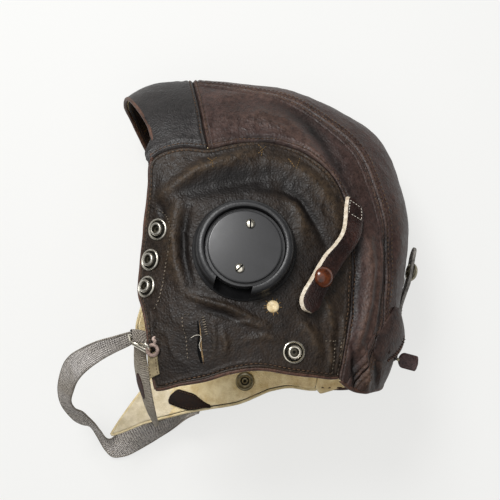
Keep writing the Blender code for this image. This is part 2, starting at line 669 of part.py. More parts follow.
CASE_WALL_SHARE = 1 - CASE_WALL / CASE_RADIUS
HOUSING_HEIGHT = HOUSING_RISE - HOUSING_BASE
CASE_TOP = HOUSING_RISE - CASE_RECESS
CASE_BASE = CASE_TOP - CASE_HEIGHT
for side_name, side_sign in SIDES:
    ear = ear_frame(side_sign)
    bore_share = BORE / HOUSING_RADIUS
    housing = turned("receiver_housing_" + side_name,
                     [(bore_share, 0.97), (0.86, 1.0), (0.93, 1.0), (0.98, 0.95), (1.0, 0.84), (1.0, 0.62),
                      (SHANK_SHARE, 0.5), (SHANK_SHARE, 0), (bore_share, 0)],
                     HOUSING_RADIUS, HOUSING_HEIGHT, HOUSING_BASE, ear, RUBBER_BLACK, 0.45, closed=True)
    notch_turn = math.radians(NOTCH_ANGLE_DEG if side_sign > 0 else -NOTCH_ANGLE_DEG)
    notch_frame = (ear @ Matrix.Rotation(notch_turn, 4, "Z")
                   @ Matrix.Translation((HOUSING_RADIUS, 0, HOUSING_RISE)))
    notch = box_cutter("notch_cutter_" + side_name, (3 * HOUSING_WALL, NOTCH_WIDTH, 2 * NOTCH_DEPTH), notch_frame)
    cut(housing, notch)
    turned("receiver_case_" + side_name,
           [(0, 1.0), (CASE_TOP_SHARE, 1.0), (CASE_TOP_SHARE, 0.72), (1.0, 0.66), (1.0, 0), (CASE_WALL_SHARE, 0),
            (CASE_WALL_SHARE, CASE_CEILING_SHARE), (0, 0.8)],
           CASE_RADIUS, CASE_HEIGHT, CASE_BASE, ear, CASE_GREY, 0.45)
    magnet_base = CASE_BASE + CASE_CEILING_SHARE * CASE_HEIGHT - MAGNET_HEIGHT - TOUCH_GAP
    disc("receiver_magnet_" + side_name, MAGNET_RADIUS, MAGNET_HEIGHT, magnet_base, ear, STEEL, 0.5, 1.0)
    coil_base = magnet_base - TOUCH_GAP - COIL_HEIGHT
    ring("receiver_coil_" + side_name, COIL_RADIUS, COIL_RADIUS / 2, COIL_HEIGHT, coil_base, ear, COPPER, 0.4, 1.0,
         STUD_STEPS)
    diaphragm_base = coil_base - TOUCH_GAP - DIAPHRAGM_THICKNESS
    disc("receiver_diaphragm_" + side_name, CASE_RADIUS, DIAPHRAGM_THICKNESS, diaphragm_base, ear, STEEL, 0.3, 1.0,
         TURN_STEPS)
    ring("receiver_ear_cap_" + side_name, CASE_RADIUS, COIL_RADIUS / 2, EAR_CAP_HEIGHT,
         diaphragm_base - TOUCH_GAP - EAR_CAP_HEIGHT, ear, CASE_GREY)
    pad_share = EAR_PAD_HOLE / EAR_PAD_RADIUS
    turned("ear_pad_" + side_name,
           [(pad_share, 0.8), (0.82, 1.0), (1.0, 0.6), (0.97, 0.15), (0.8, 0), (pad_share, 0.1)],
           EAR_PAD_RADIUS, EAR_PAD_HEIGHT, HOUSING_BASE - EAR_PAD_HEIGHT - TOUCH_GAP, ear, TAN, 0.8, closed=True)
    for index, end in (("upper", 1), ("lower", -1)):
        line = math.radians(SCREW_LINE_DEG) * side_sign
        spot = Matrix.Translation((end * SCREW_OFFSET * math.cos(line), end * SCREW_OFFSET * math.sin(line), 0))
        turn = Matrix.Rotation(math.radians(90 if end > 0 else 45), 4, "Z")
        screw_frame = ear @ spot @ turn
        head = disc("terminal_screw_" + index + "_" + side_name, SCREW_RADIUS, SCREW_HEIGHT,
                    CASE_TOP + TOUCH_GAP, screw_frame, NICKEL, 0.25, 1.0)
        top = Matrix.Translation((0, 0, CASE_TOP + TOUCH_GAP + SCREW_HEIGHT))
        slot = box_cutter("slot_cutter_" + index + "_" + side_name,
                          (3 * SCREW_RADIUS, SCREW_SLOT, SCREW_HEIGHT), screw_frame @ top)
        cut(head, slot)

# Press studs, their back plates and the lead eyelet
for side_name, side_sign in SIDES:
    for number, (angle, level) in enumerate(MASK_STUD_SHARES, start=1):
        turned("mask_stud_" + side_name + "_" + str(number), STUD_PROFILE_SHARES, STUD_RADIUS, STUD_HEIGHT,
               TOUCH_GAP, seat_frame(angle, side_sign * level, STUD_RADIUS), NICKEL, 0.25, 1.0, STUD_STEPS)
    lead_angle, lead_level = LEAD_STUD_SHARE if side_sign > 0 else LEAD_STUD_RIGHT_SHARE
    lead = shell_frame(lead_angle, side_sign * lead_level)
    turned("lead_stud_" + side_name, STUD_PROFILE_SHARES, STUD_RADIUS, STUD_HEIGHT, TOUCH_GAP,
           seat_frame(lead_angle, side_sign * lead_level, STUD_RADIUS), NICKEL, 0.25, 1.0, STUD_STEPS)
    back_depth = LEATHER_THICKNESS + LINING_GAP + LINING_THICKNESS + TOUCH_GAP + STUD_BACK_HEIGHT
    disc("lead_stud_back_" + side_name, STUD_BACK_RADIUS, STUD_BACK_HEIGHT, -back_depth, lead, STEEL, 0.35, 1.0)
ring("lead_eyelet_left", EYELET_RADIUS, EYELET_RADIUS / 3, EYELET_HEIGHT, TOUCH_GAP,
     shell_frame(*EYELET_SHARE), CREAM, 0.6, 0.0, STUD_STEPS)


# Goggle tabs
def goggle_tab(side_name, side, sewn_shares, free_shares, roll, cap_station):
    station = int(cap_station)
    free = tab_frames(free_shares, side, roll)
    start = free[0]
    sewn = tab_frames(sewn_shares, side, roll)
    sewn.append(start @ Matrix.Translation((-TAB_HINGE_GAP, 0, 0)))
    hinge = pivot("goggle_tab_pivot_" + side_name, start.translation, start.to_3x3().col[1])
    tab_strap("goggle_tab_sewn_" + side_name, sewn, TAB_WIDTH, TAB_THICKNESS, RED_BROWN)
    tab_strap("goggle_tab_" + side_name, free, TAB_WIDTH, TAB_THICKNESS, RED_BROWN, hinge, round_end=True)
    turned("goggle_tab_cap_" + side_name, CAP_PROFILE_SHARES, CAP_RADIUS, CAP_HEIGHT, CAP_SEAT, free[station],
           RED_BROWN, 0.25, 0.0, STUD_STEPS, parent=hinge)
    angle, level, _ = free_shares[station]
    disc("goggle_stud_" + side_name, TAB_STUD_RADIUS, TAB_STUD_HEIGHT, TOUCH_GAP, shell_frame(angle, side * level),
         NICKEL, 0.25, 1.0)


goggle_tab("left", 1, TAB_SEWN_SHARES, TAB_FREE_SHARES, TAB_ROLL_DEG, TAB_CAP_STATION)
goggle_tab("right", -1, TAB_SEWN_SHARES, TAB_FREE_SHARES, TAB_ROLL_DEG, TAB_CAP_STATION)
goggle_tab("rear", 1, REAR_SEWN_SHARES, REAR_FREE_SHARES, 0, REAR_CAP_STATION)

# Chin strap, its buckle and the parts it hangs from
SKIN_DEPTH = LEATHER_THICKNESS + LINING_GAP + LINING_THICKNESS
chape_frames = [shell_frame(angle, level, CHAPE_THICKNESS + TOUCH_GAP) for angle, level in CHAPE_SHARES]
tab_strap("chin_chape", chape_frames, CHAPE_WIDTH, CHAPE_THICKNESS, CREAM)
cheek_frames = [shell_frame(angle, -level, -SKIN_DEPTH - CHEEK_TAB_SEAT) for angle, level in CHEEK_TAB_SHARES]
tab_strap("cheek_tab_right", cheek_frames, CHEEK_TAB_WIDTH, CHAPE_THICKNESS, RED_BROWN)

bar_line = Vector(BAR_LINE_SHARE).normalized()
frame_drop = Vector(FRAME_DROP_SHARE)
frame_drop = (frame_drop - bar_line * frame_drop.dot(bar_line)).normalized()
half_bar = FRAME_INNER_WIDTH / 2 + FRAME_WIRE_RADIUS
loop_middle = chape_frames[0] @ Vector((-LOOP_SETBACK, 0, LOOP_LIFT))
bar_middle = loop_middle - bar_line * half_bar - frame_drop * FRAME_REACH * LOOP_SHARE
corners = [bar_middle + bar_line * half_bar * end + frame_drop * FRAME_REACH * down
           for end, down in ((-1, 0), (1, 0), (1, 1), (-1, 1))]
wire("chin_buckle_frame", corners, FRAME_WIRE_RADIUS, NICKEL, cyclic=True)
roller_middle = bar_middle + frame_drop * FRAME_REACH
roller_frame = frame_at(roller_middle, frame_drop, bar_line)
roller_pivot = pivot("chin_buckle_roller_pivot", roller_middle, bar_line)
ring("chin_buckle_roller", ROLLER_RADIUS, FRAME_WIRE_RADIUS + TOUCH_GAP, ROLLER_LENGTH, -ROLLER_LENGTH / 2,
     roller_frame, NICKEL, 0.25, 1.0, STUD_STEPS, parent=roller_pivot)

web_start = bar_line * (half_bar + FRAME_WIRE_RADIUS + 2 * TOUCH_GAP)
web_edges = [(bar_middle - web_start - frame_drop * WEB_THICKNESS,
              bar_middle - web_start + frame_drop * (FRAME_REACH + WEB_THICKNESS))]
web_edges += [(field(a), field(b)) for a, b in WEB_EDGE_SHARES]
for angle, outer_level, inner_level in WEB_END_SHARES:
    web_edges.append(tuple(shell_frame(angle, -level, WEB_THICKNESS + TOUCH_GAP).translation
                           for level in (outer_level, inner_level)))
edge_ribbon("chin_webbing", web_edges, 2, WEB_THICKNESS, WEB_GREY)

tail_pivot = pivot("chin_strap_tail_pivot", roller_middle, bar_line)
tail_top = roller_middle + frame_drop * (ROLLER_RADIUS + 2 * TOUCH_GAP)
tail_edges = [(tail_top - bar_line * ROLLER_LENGTH / 2, tail_top + bar_line * ROLLER_LENGTH / 2)]
tail_edges += [(field(a), field(b)) for a, b in TAIL_EDGE_SHARES]
edge_ribbon("chin_strap_tail", tail_edges, 2, WEB_THICKNESS, WEB_GREY, parent=tail_pivot)

# Nape strap
nape_frames = tab_frames(NAPE_STRAP_SHARES, 1, 0)
tab_strap("nape_strap", nape_frames, NAPE_STRAP_WIDTH, NAPE_STRAP_THICKNESS, RED_BROWN)
nape_spot = shell_frame(*NAPE_END_SHARE, NAPE_BAR_LIFT)
nape_run = nape_spot.to_3x3().col[2]
nape_bar_frame = frame_at(nape_spot.translation, nape_run, Vector((0, 0, 1)))
disc("nape_buckle_bar", NAPE_BAR_RADIUS, NAPE_BAR_LENGTH, -NAPE_BAR_LENGTH / 2, nape_bar_frame, NICKEL, 0.3, 1.0)
nape_pivot = pivot("nape_end_pivot", nape_spot.translation, Vector((0, 0, 1)))
nape_start = nape_spot.translation + nape_run * (NAPE_BAR_RADIUS + 2 * TOUCH_GAP)
nape_across = Vector((0, 0, 1)).cross(nape_run)
band("nape_strap_end", [nape_start, nape_start + nape_run * NAPE_END_LENGTH / 2,
                        nape_start + nape_run * NAPE_END_LENGTH],
     NAPE_STRAP_WIDTH, nape_across, NAPE_STRAP_THICKNESS, RED_BROWN, nape_pivot)
bpy.context.view_layer.update()
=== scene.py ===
"""Leather flying helmet on a pale table, seen from above its left ear."""
import json
import math

import bmesh
import bpy
import numpy as np
from mathutils import Matrix, Vector, noise
from mathutils.bvhtree import BVHTree

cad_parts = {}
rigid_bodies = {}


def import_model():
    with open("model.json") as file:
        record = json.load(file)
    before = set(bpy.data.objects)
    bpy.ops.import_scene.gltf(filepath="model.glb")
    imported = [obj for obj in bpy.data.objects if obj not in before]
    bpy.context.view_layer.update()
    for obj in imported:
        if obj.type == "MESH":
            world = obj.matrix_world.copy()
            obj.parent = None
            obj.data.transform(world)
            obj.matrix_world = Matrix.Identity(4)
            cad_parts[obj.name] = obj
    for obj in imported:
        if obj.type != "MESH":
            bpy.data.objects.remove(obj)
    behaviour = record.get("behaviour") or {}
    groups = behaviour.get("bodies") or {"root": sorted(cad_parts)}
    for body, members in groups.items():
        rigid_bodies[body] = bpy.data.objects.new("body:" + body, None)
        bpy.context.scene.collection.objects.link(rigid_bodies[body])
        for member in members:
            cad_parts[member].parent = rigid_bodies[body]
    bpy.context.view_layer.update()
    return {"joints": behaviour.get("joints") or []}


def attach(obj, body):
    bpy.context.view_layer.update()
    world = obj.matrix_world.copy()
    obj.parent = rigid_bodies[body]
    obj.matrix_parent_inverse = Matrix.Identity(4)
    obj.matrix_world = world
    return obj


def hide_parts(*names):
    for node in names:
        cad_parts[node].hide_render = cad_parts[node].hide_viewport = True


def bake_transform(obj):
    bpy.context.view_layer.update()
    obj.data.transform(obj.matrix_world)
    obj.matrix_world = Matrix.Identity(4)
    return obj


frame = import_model()
MM = 0.001
SIDES = (("left", 1), ("right", -1))
UP = (0, 0, 1)
PIVOTS = {joint["name"]: np.array(joint["pos_m"]) for joint in frame["joints"]}

# The shell: one surface about the line of the ears, read by angle (degrees) and level (1 left ear, -1 right)
CROWN_REACH = 150 * MM
HALF_WIDTH_LEFT, HALF_WIDTH_RIGHT = 76 * MM, 70 * MM
MIDDLE = np.array([3, 5, 77]) * MM
ROLL, YAW = math.radians(14), math.radians(3)
EAR_AXIS = np.array([math.sin(YAW), math.cos(YAW) * math.sin(ROLL), math.cos(YAW) * math.cos(ROLL)])
BOXINESS = 2.4
REACH = np.array([0.88, 0.94, 1.0, 1.065, 1.05, 1.055, 1.05, 1.10, 1.155, 1.08, 0.80, 0.66,
                  0.62, 0.64, 0.74, 0.90, 1.06, 1.16, 1.18, 1.16, 1.08, 0.985, 0.925, 0.865])
REACH_STEP = 15
EAR_HOLE = {1: 34.6 * MM, -1: 36 * MM}

# The far flap is pulled forward and down round one angle; near the ear line it is seated on the table
PULL_ANGLE, PULL_SPREAD = 232, 38
PULL_FROM, PULL_OVER, PULL_MOST = 0.045, 0.070, 1.3
PULL_ALONG, PULL_UP, PULL_DOWN = 0.040, 0.028, 0.030
SEAT_INNER, SEAT_OUTER, SEAT_HEIGHT = 0.042, 0.080, 0.0125
TABLE_GAP, TABLE_CURVE, TABLE_REACH = 0.0002, 0.003, 0.09

# Seams and edges, as (angle, level) round the shell and as (level, angle) across it
CROWN_SEAM = [(-60, 0.42), (-34, 0.405), (-23, 0.378), (-7, 0.40), (9, 0.445), (20, 0.47), (35, 0.483),
              (50, 0.468), (66, 0.41), (84, 0.36), (104, 0.30), (112, 0.29)]
EAR_SEAM = [(-52.5, 0.525), (-41, 0.579), (-24, 0.602), (-9, 0.611), (0, 0.631), (15, 0.648), (31, 0.655),
            (47, 0.669), (62, 0.658), (87, 0.678), (109, 0.715), (122, 0.68), (134.5, 0.632)]
FRONT_EDGE = [(134.5, 0.632), (142, 0.615), (150, 0.559), (165.5, 0.472), (187.5, 0.413), (198, 0.415),
              (209, 0.491), (219, 0.536), (229.6, 0.538), (237.7, 0.507)]
FRONT_EDGE_RIGHT = [(134.5, 0.632), (142, 0.615), (150, 0.559), (165.5, 0.472), (187.5, 0.413), (198, 0.418),
                    (204, 0.455), (210, 0.53), (217, 0.61), (224, 0.655), (231, 0.665), (237.7, 0.46)]
NECK_EDGE = [(237.7, 0.507), (245, 0.608), (255.6, 0.684), (264, 0.718), (276.7, 0.728), (287, 0.698),
             (299, 0.619), (307.5, 0.525)]
NECK_EDGE_RIGHT = [(237.7, 0.46), (244.5, 0.578), (254.5, 0.652), (263.5, 0.675), (276, 0.679), (284, 0.684),
                   (290.5, 0.676), (299.5, 0.628), (307.5, 0.525)]
BROW_EDGE = [(0, 124.5), (0.2, 124), (0.5, 125.2), (0.592, 128.4), (0.632, 134.5), (0.75, 140)]
BROW_SEAM = [(0, 104), (0.26, 105), (0.535, 106.4), (0.715, 108.8), (0.8, 110)]
NAPE_CREASE = [(0, -21), (0.2, -26), (0.42, -34)]
NAPE_EDGE = [(0, -38), (0.23, -43.8), (0.42, -50.4), (0.55, -53)]
NAPE_EDGE_RIGHT = [(0, -38), (0.23, -40.2), (0.42, -46.5), (0.55, -53)]
PANEL_CORNERS = [-52.5, 134.5, 237.7, 307.5]
CORNER_SHARES = [0, 25 / 49, 39 / 49, 1]
LEATHER, LINING, STRAP, WEB = 1.6 * MM, 1.2 * MM, 1.8 * MM, 1.5 * MM

# Camera over the helmet, and the width that it takes in on the helmet's middle plane
CAMERA = np.array([0.011, 0.023, 0.730])
VIEW_DISTANCE, VIEW_WIDTH, PICTURE = 0.648, 0.4, 500
PIXEL = VIEW_WIDTH / PICTURE / VIEW_DISTANCE
CENTRE = PICTURE / 2


def follow(table, place):
    """Smooth curve through a table's points."""
    x, y = np.array(table, float).T
    place = np.clip(place, x[0], x[-1])
    i = np.clip(np.searchsorted(x, place, side="right") - 1, 0, len(x) - 2)
    low, high = np.maximum(np.arange(len(x)) - 1, 0), np.minimum(np.arange(len(x)) + 1, len(x) - 1)
    slope = (y[high] - y[low]) / (x[high] - x[low])
    span = x[i + 1] - x[i]
    u = (place - x[i]) / span
    rise, lead, tail = y[i + 1] - y[i], slope[i] * span, slope[i + 1] * span
    return y[i] + u * (lead + u * (3 * rise - 2 * lead - tail + u * (lead + tail - 2 * rise)))


def fade(value, start, end):
    t = np.clip((value - start) / (end - start), 0, 1)
    return t * t * (3 - 2 * t)


def unit(vectors):
    return vectors / np.maximum(np.linalg.norm(vectors, axis=-1, keepdims=True), 1e-12)


def reach_at(angle):
    """Distance of the crown's middle line from the line of the ears."""
    place = (angle % 360) / REACH_STEP
    i = place.astype(int)
    u = place - i
    a, b, c, d = (REACH[(i + k) % len(REACH)] for k in (-1, 0, 1, 2))
    return CROWN_REACH * (b + 0.5 * u * (c - a + u * (2 * a - 5 * b + 4 * c - d + u * (3 * (b - c) + d - a))))


def shell(angle, level):
    """Points on the outer face of the leather."""
    angle, level = np.broadcast_arrays(np.asarray(angle, float), np.asarray(level, float))
    turn = np.abs(level) * math.pi / 2
    out = reach_at(angle) * np.maximum(np.cos(turn), 0) ** (2 / BOXINESS)
    left = level >= 0
    across = np.where(left, HALF_WIDTH_LEFT, -HALF_WIDTH_RIGHT) * np.sin(turn) ** (2 / BOXINESS)
    along, up = out * np.cos(np.radians(angle)), out * np.sin(np.radians(angle))
    off = (angle % 360 - PULL_ANGLE) / PULL_SPREAD
    pull = np.where(left, 0, np.exp(-off * off) * np.clip((out - PULL_FROM) / PULL_OVER, 0, PULL_MOST))
    along, up, drop = along - PULL_ALONG * pull, up - PULL_UP * pull, PULL_DOWN * pull
    side = across * math.cos(YAW) - along * math.sin(YAW)
    x = MIDDLE[0] + along * math.cos(YAW) + across * math.sin(YAW)
    y = MIDDLE[1] + up * math.cos(ROLL) + side * math.sin(ROLL)
    z = MIDDLE[2] - up * math.sin(ROLL) + side * math.cos(ROLL) - drop
    seat = 1 - fade(out, SEAT_INNER, SEAT_OUTER)
    low = z * (1 - seat) + SEAT_HEIGHT * seat
    rise = np.clip((low - TABLE_GAP) / TABLE_CURVE, -40, 30)
    low = np.where(low > TABLE_REACH, low, TABLE_GAP + TABLE_CURVE * np.log1p(np.exp(rise)))
    return np.stack([x, y, np.where(left, z, low)], -1)


def outwards(angle, level):
    """Unit normals of the shell, pointing out of the helmet."""
    along = shell(angle + 0.5, level) - shell(angle - 0.5, level)
    inwards = shell(angle, level + 0.01) - shell(angle, level - 0.01)
    normal = np.cross(along, inwards)
    normal /= np.linalg.norm(normal, axis=-1, keepdims=True)
    facing = np.sum(normal * (shell(angle, level) - MIDDLE), -1, keepdims=True)
    return np.where(facing < 0, -normal, normal)


def pixel(points):
    """Where points show in the picture, in its pixels."""
    size = PIXEL * (CAMERA[2] - points[..., 2])
    return np.stack([CENTRE + (points[..., 0] - CAMERA[0]) / size,
                     CENTRE - (points[..., 1] - CAMERA[1]) / size], -1)


def seen_at(x, y, height):
    """Point at a height above the table that shows at a pixel."""
    size = PIXEL * (CAMERA[2] - height)
    return np.array([CAMERA[0] + (x - CENTRE) * size, CAMERA[1] + (CENTRE - y) * size, height])


SEEK_ANGLE, SEEK_LEVEL = [a.ravel() for a in np.meshgrid(np.arange(-60, 300, 2.0), np.arange(0.0, 0.97, 0.02))]
SEEK_PIXEL = pixel(shell(SEEK_ANGLE, SEEK_LEVEL))
SEEK_FACING = outwards(SEEK_ANGLE, SEEK_LEVEL)[:, 2] > 0.02
ANGLE_STEP, LEVEL_STEP = 0.2, 0.002


def nudged(angle, level, shift):
    """Angle and level moved so that the place shown shifts by some pixels."""
    here = pixel(shell(angle, level))
    by_angle = (pixel(shell(angle + ANGLE_STEP, level)) - here) / ANGLE_STEP
    by_level = (pixel(shell(angle, level + LEVEL_STEP)) - here) / LEVEL_STEP
    step = np.linalg.lstsq(np.array([by_angle, by_level]).T, shift, rcond=None)[0]
    return angle + np.clip(step[0], -6, 6), float(np.clip(level + step[1], 0, 0.96))


def place_at(x, y):
    """Angle and level of the leather that shows at a pixel."""
    best = int(np.argmin(np.where(SEEK_FACING, np.hypot(SEEK_PIXEL[:, 0] - x, SEEK_PIXEL[:, 1] - y), 1e9)))
    angle, level = SEEK_ANGLE[best], SEEK_LEVEL[best]
    for _ in range(8):
        angle, level = nudged(angle, level, np.array([x, y]) - pixel(shell(angle, level)))
    return angle, level


def lifted(x, y, lift):
    """Point a given way above the leather that shows at a pixel."""
    angle, level = place_at(x, y)
    for _ in range(5):
        miss = pixel(shell(angle, level) + outwards(angle, level) * lift) - np.array([x, y])
        if np.hypot(*miss) < 0.02:
            break
        angle, level = nudged(angle, level, -miss)
    return shell(angle, level) + outwards(angle, level) * lift


# Folds of the left side, each a run of picture points, its half width in pixels and its rise in millimetres
FOLDS = [
    ([(158, 198), (181, 181), (201, 168), (231, 160), (252, 154)], 6, 2.2),
    ([(184, 192), (208, 186), (240, 180), (270, 177), (298, 186)], 10, -2.9),
    ([(270, 160), (297, 167), (318, 184), (333, 206), (341, 232)], 6, 1.5),
    ([(262, 188), (285, 190), (301, 199), (315, 222), (326, 244)], 5, -2.6),
    ([(292, 199), (301, 216), (303, 242)], 6.5, 1.7),
    ([(178, 200), (173, 228), (174, 258), (182, 288)], 7, 2.1),
    ([(188, 206), (183, 232), (183, 256), (190, 284)], 4.5, -2.0),
    ([(157, 196), (163, 214), (160, 232)], 4, -0.9),
    ([(189, 296), (206, 301), (225, 306), (247, 316), (268, 326)], 3.6, 1.7),
    ([(200, 309), (222, 314), (244, 325)], 3.4, -1.4),
    ([(232, 322), (250, 323), (264, 329)], 3, 1.2),
    ([(222, 330), (226, 344), (224, 358)], 4, 1.1),
    ([(213, 322), (215, 340), (214, 358)], 3, 0.8),
    ([(246, 340), (266, 336), (282, 341)], 4, 0.9),
    ([(300, 322), (312, 334), (318, 352)], 5, 1.2),
    ([(321, 292), (329, 310), (333, 332)], 4, 1.6),
    ([(329, 340), (331, 356), (328, 374)], 3, 1.3),
    ([(343, 318), (343, 342), (341, 366)], 2.6, 1.6),
    ([(284, 104), (306, 122), (326, 146), (342, 172), (354, 206)], 7, -1.6),
    ([(225, 118), (262, 117), (294, 131), (318, 156), (334, 186)], 8, 1.5),
    ([(214, 98), (246, 94), (280, 98), (304, 110)], 5, 1.1),
    ([(232, 134), (262, 138), (290, 147)], 4, -0.9),
    ([(268, 118), (286, 125), (300, 138)], 3, -0.9),
    ([(356, 214), (357, 246), (357, 290), (352, 330)], 4.2, -2.4),
    ([(369, 240), (371, 272), (368, 304), (361, 332), (353, 356)], 4.5, 2.7),
    ([(381, 250), (379, 286), (375, 320), (370, 346)], 3.5, 1.5),
    ([(385, 240), (384, 276), (380, 312), (376, 338)], 2.2, -1.4),
    ([(352, 344), (355, 364), (356, 388)], 3, -2.0),
    ([(363, 346), (366, 370), (366, 391)], 3.5, 2.6),
    ([(375, 352), (377, 372), (376, 388)], 2.6, -1.4),
    ([(388, 226), (391, 250), (390, 272)], 5, -1.2),
    ([(395, 196), (399, 230), (398, 262), (391, 296)], 6, 1.0),
]
FOLD_GAIN, FOLD_START, FOLD_LENGTH = 1.35, 0.12, 0.76


def fold(points, level):
    """Rise of the leather over the plain shell, metres."""
    shown = pixel(points)
    rise = np.zeros(len(points))
    for run, half, height in FOLDS:
        run = np.array(run, float)
        near = np.full(len(points), 1e9)
        taper = np.ones(len(points))
        for k, (start, end) in enumerate(zip(run, run[1:])):
            leg = end - start
            t = np.clip(((shown - start) @ leg) / (leg @ leg), 0, 1)
            away = np.linalg.norm(shown - start - t[:, None] * leg, axis=1)
            share = (k + t) / (len(run) - 1)
            closer = away < near
            near = np.where(closer, away, near)
            taper = np.where(closer, np.sin(np.pi * np.clip(FOLD_START + FOLD_LENGTH * share, 0, 1)), taper)
        rise += FOLD_GAIN * height * MM * taper * np.exp(-(near / half) ** 2)
    return rise * fade(level, 0.02, 0.2)


def rough(points, size, seed):
    """Soft random rise between -1 and 1, with lumps of a given size in metres."""
    return np.array([noise.noise(Vector(p / size) + Vector((seed, 0, 0))) for p in points])


def wrinkles(points, size, seed):
    """Sharp-backed folds between 0 and 1, with a given spacing in metres."""
    bend = rough(points, size * 2.2, seed + 5)[:, None] * size * 0.6
    return (1 - np.abs(rough(points + bend, size, seed)) * 2.4).clip(0, 1) ** 2


def hump(distance, place, width):
    """Bell between 0 and 1 about a distance; both in millimetres."""
    return np.exp(-((distance - place * MM) / (width * MM)) ** 2)


def dressed(angle, level, lift=0.0):
    """Points on the folded leather and their normals."""
    angle, level = np.broadcast_arrays(np.asarray(angle, float), np.asarray(level, float))
    points, normals = shell(angle, level), outwards(angle, level)
    return points + normals * (fold(points, level) + lift)[..., None], normals


def metres_per_level(angle, level):
    return np.linalg.norm(shell(angle, level + 0.01) - shell(angle, level - 0.01), axis=-1) / 0.02


def metres_per_degree(angle, level):
    return np.linalg.norm(shell(angle + 0.5, level) - shell(angle - 0.5, level), axis=-1)


# Materials. Noise scales are lumps to a metre, so 28 is lumps of 36 mm and 260 of 4 mm.
# Colour the leather is mixed towards by its shade mark: painted shade in folds, along seams and round the
# receivers, and dark mottle on the nape gather
SHADE_AND_MOTTLE_TONE = "#0b0807"
MOTTLE_SCALE, SPECK_SCALE, CRACK_SCALE = 28, 260, 75
FUZZ_SCALE, DIRT_SCALE = 500, 40


def linear(code):
    parts = [int(code[i:i + 2], 16) / 255 for i in (1, 3, 5)]
    return [p / 12.92 if p <= 0.04045 else ((p + 0.055) / 1.055) ** 2.4 for p in parts] + [1]


def add(tree, kind, inputs=(), stops=(), **settings):
    """Adds a node with its settings, its inputs as values or links, and a ramp's stops as (place, hex)."""
    made = tree.nodes.new("ShaderNode" + kind)
    for key, value in settings.items():
        setattr(made, key, value)
    for key, value in dict(inputs).items():
        if isinstance(value, bpy.types.NodeSocket):
            tree.links.new(value, made.inputs[key])
        else:
            made.inputs[key].default_value = value
    for k, (place, code) in enumerate(stops):
        made.color_ramp.elements[k].position = place
        made.color_ramp.elements[k].color = linear(code)
    return made


def blank(name, roughness, metallic=0.0, specular=0.5):
    material = bpy.data.materials.new(name)
    material.use_nodes = True
    shader = material.node_tree.nodes["Principled BSDF"]
    for key, value in (("Roughness", roughness), ("Metallic", metallic), ("Specular IOR Level", specular)):
        shader.inputs[key].default_value = value
    return material, material.node_tree, shader


def leather(name, deep, body, worn, rough_low=0.38, rough_high=0.62, grain=1.6, crease=0.4, specular=0.38):
    """Dyed hide: mottled body colour, pebble grain in millimetres, ridges paler by rubbing and painted highlight,
    painted shade and dark mottle from a mark on the piece.
    """
    material, tree, shader = blank(name, 0.5, specular=specular)
    place = add(tree, "TexCoord").outputs["Object"]
    patches = add(tree, "TexNoise", {"Vector": place, "Scale": MOTTLE_SCALE, "Detail": 4, "Roughness": 0.6})
    specks = add(tree, "TexNoise", {"Vector": place, "Scale": SPECK_SCALE, "Detail": 5,
                                    "Roughness": 0.7}).outputs["Fac"]
    pebble = add(tree, "TexVoronoi", {"Vector": place, "Scale": 1000 / grain, "Randomness": 1.0},
                 feature="SMOOTH_F1")
    cracks = add(tree, "TexNoise", {"Vector": place, "Scale": CRACK_SCALE, "Detail": 5, "Roughness": 0.6,
                                    "Distortion": 0.9}, noise_type="RIDGED_MULTIFRACTAL")
    tone = add(tree, "ValToRGB", {"Fac": patches.outputs["Fac"]}, [(0.32, deep), (0.62, body)])
    rub_and_highlight = add(tree, "Attribute", attribute_name="wear").outputs["Fac"]
    mask = add(tree, "Math", {0: rub_and_highlight, 1: specks}, operation="MULTIPLY")
    mask = add(tree, "Math", {0: mask.outputs[0], 1: 1.3}, operation="MULTIPLY", use_clamp=True)
    rubbed = add(tree, "Mix", {"Factor": mask.outputs[0], 6: tone.outputs["Color"], 7: linear(worn)},
                 data_type="RGBA")
    fleck = add(tree, "ValToRGB", {"Fac": specks}, [(0.35, "#a8a8a8"), (0.7, "#ffffff")])
    mottled = add(tree, "Mix", {"Factor": 1.0, 6: rubbed.outputs[2], 7: fleck.outputs["Color"]},
                  data_type="RGBA", blend_type="MULTIPLY")
    hollow = add(tree, "Attribute", attribute_name="hollow").outputs["Fac"]
    final = add(tree, "Mix", {"Factor": hollow, 6: mottled.outputs[2], 7: linear(SHADE_AND_MOTTLE_TONE)},
                data_type="RGBA")
    tree.links.new(final.outputs[2], shader.inputs["Base Color"])
    gloss = add(tree, "MapRange", {"Value": specks, "From Min": 0.3, "From Max": 0.7, "To Min": rough_low,
                                   "To Max": rough_high})
    tree.links.new(gloss.outputs[0], shader.inputs["Roughness"])
    fine = add(tree, "Bump", {"Height": pebble.outputs["Distance"], "Strength": 0.9, "Distance": 0.4 * MM},
               invert=True)
    coarse = add(tree, "Bump", {"Height": cracks.outputs["Fac"], "Strength": crease, "Distance": 0.5 * MM,
                                "Normal": fine.outputs[0]})
    tree.links.new(coarse.outputs[0], shader.inputs["Normal"])
    return material


def plain(name, deep, body, roughness, metallic=0.0, scale=120, bump=0.2, depth=0.2, specular=0.5):
    """Even finish with a slow stain and a fine surface, its depth in millimetres."""
    material, tree, shader = blank(name, roughness, metallic, specular)
    place = add(tree, "TexCoord").outputs["Object"]
    stain = add(tree, "TexNoise", {"Vector": place, "Scale": scale, "Detail": 5,
                                   "Roughness": 0.65}).outputs["Fac"]
    tone = add(tree, "ValToRGB", {"Fac": stain}, [(0.35, deep), (0.65, body)])
    tree.links.new(tone.outputs["Color"], shader.inputs["Base Color"])
    skin = add(tree, "TexNoise", {"Vector": place, "Scale": scale * 9, "Detail": 4})
    gloss = add(tree, "MapRange", {"Value": stain, "From Min": 0.3, "From Max": 0.7, "To Min": roughness * 1.15,
                                   "To Max": roughness * 0.85})
    tree.links.new(gloss.outputs[0], shader.inputs["Roughness"])
    dents = add(tree, "Bump", {"Height": skin.outputs["Fac"], "Strength": bump, "Distance": depth * MM})
    tree.links.new(dents.outputs[0], shader.inputs["Normal"])
    return material


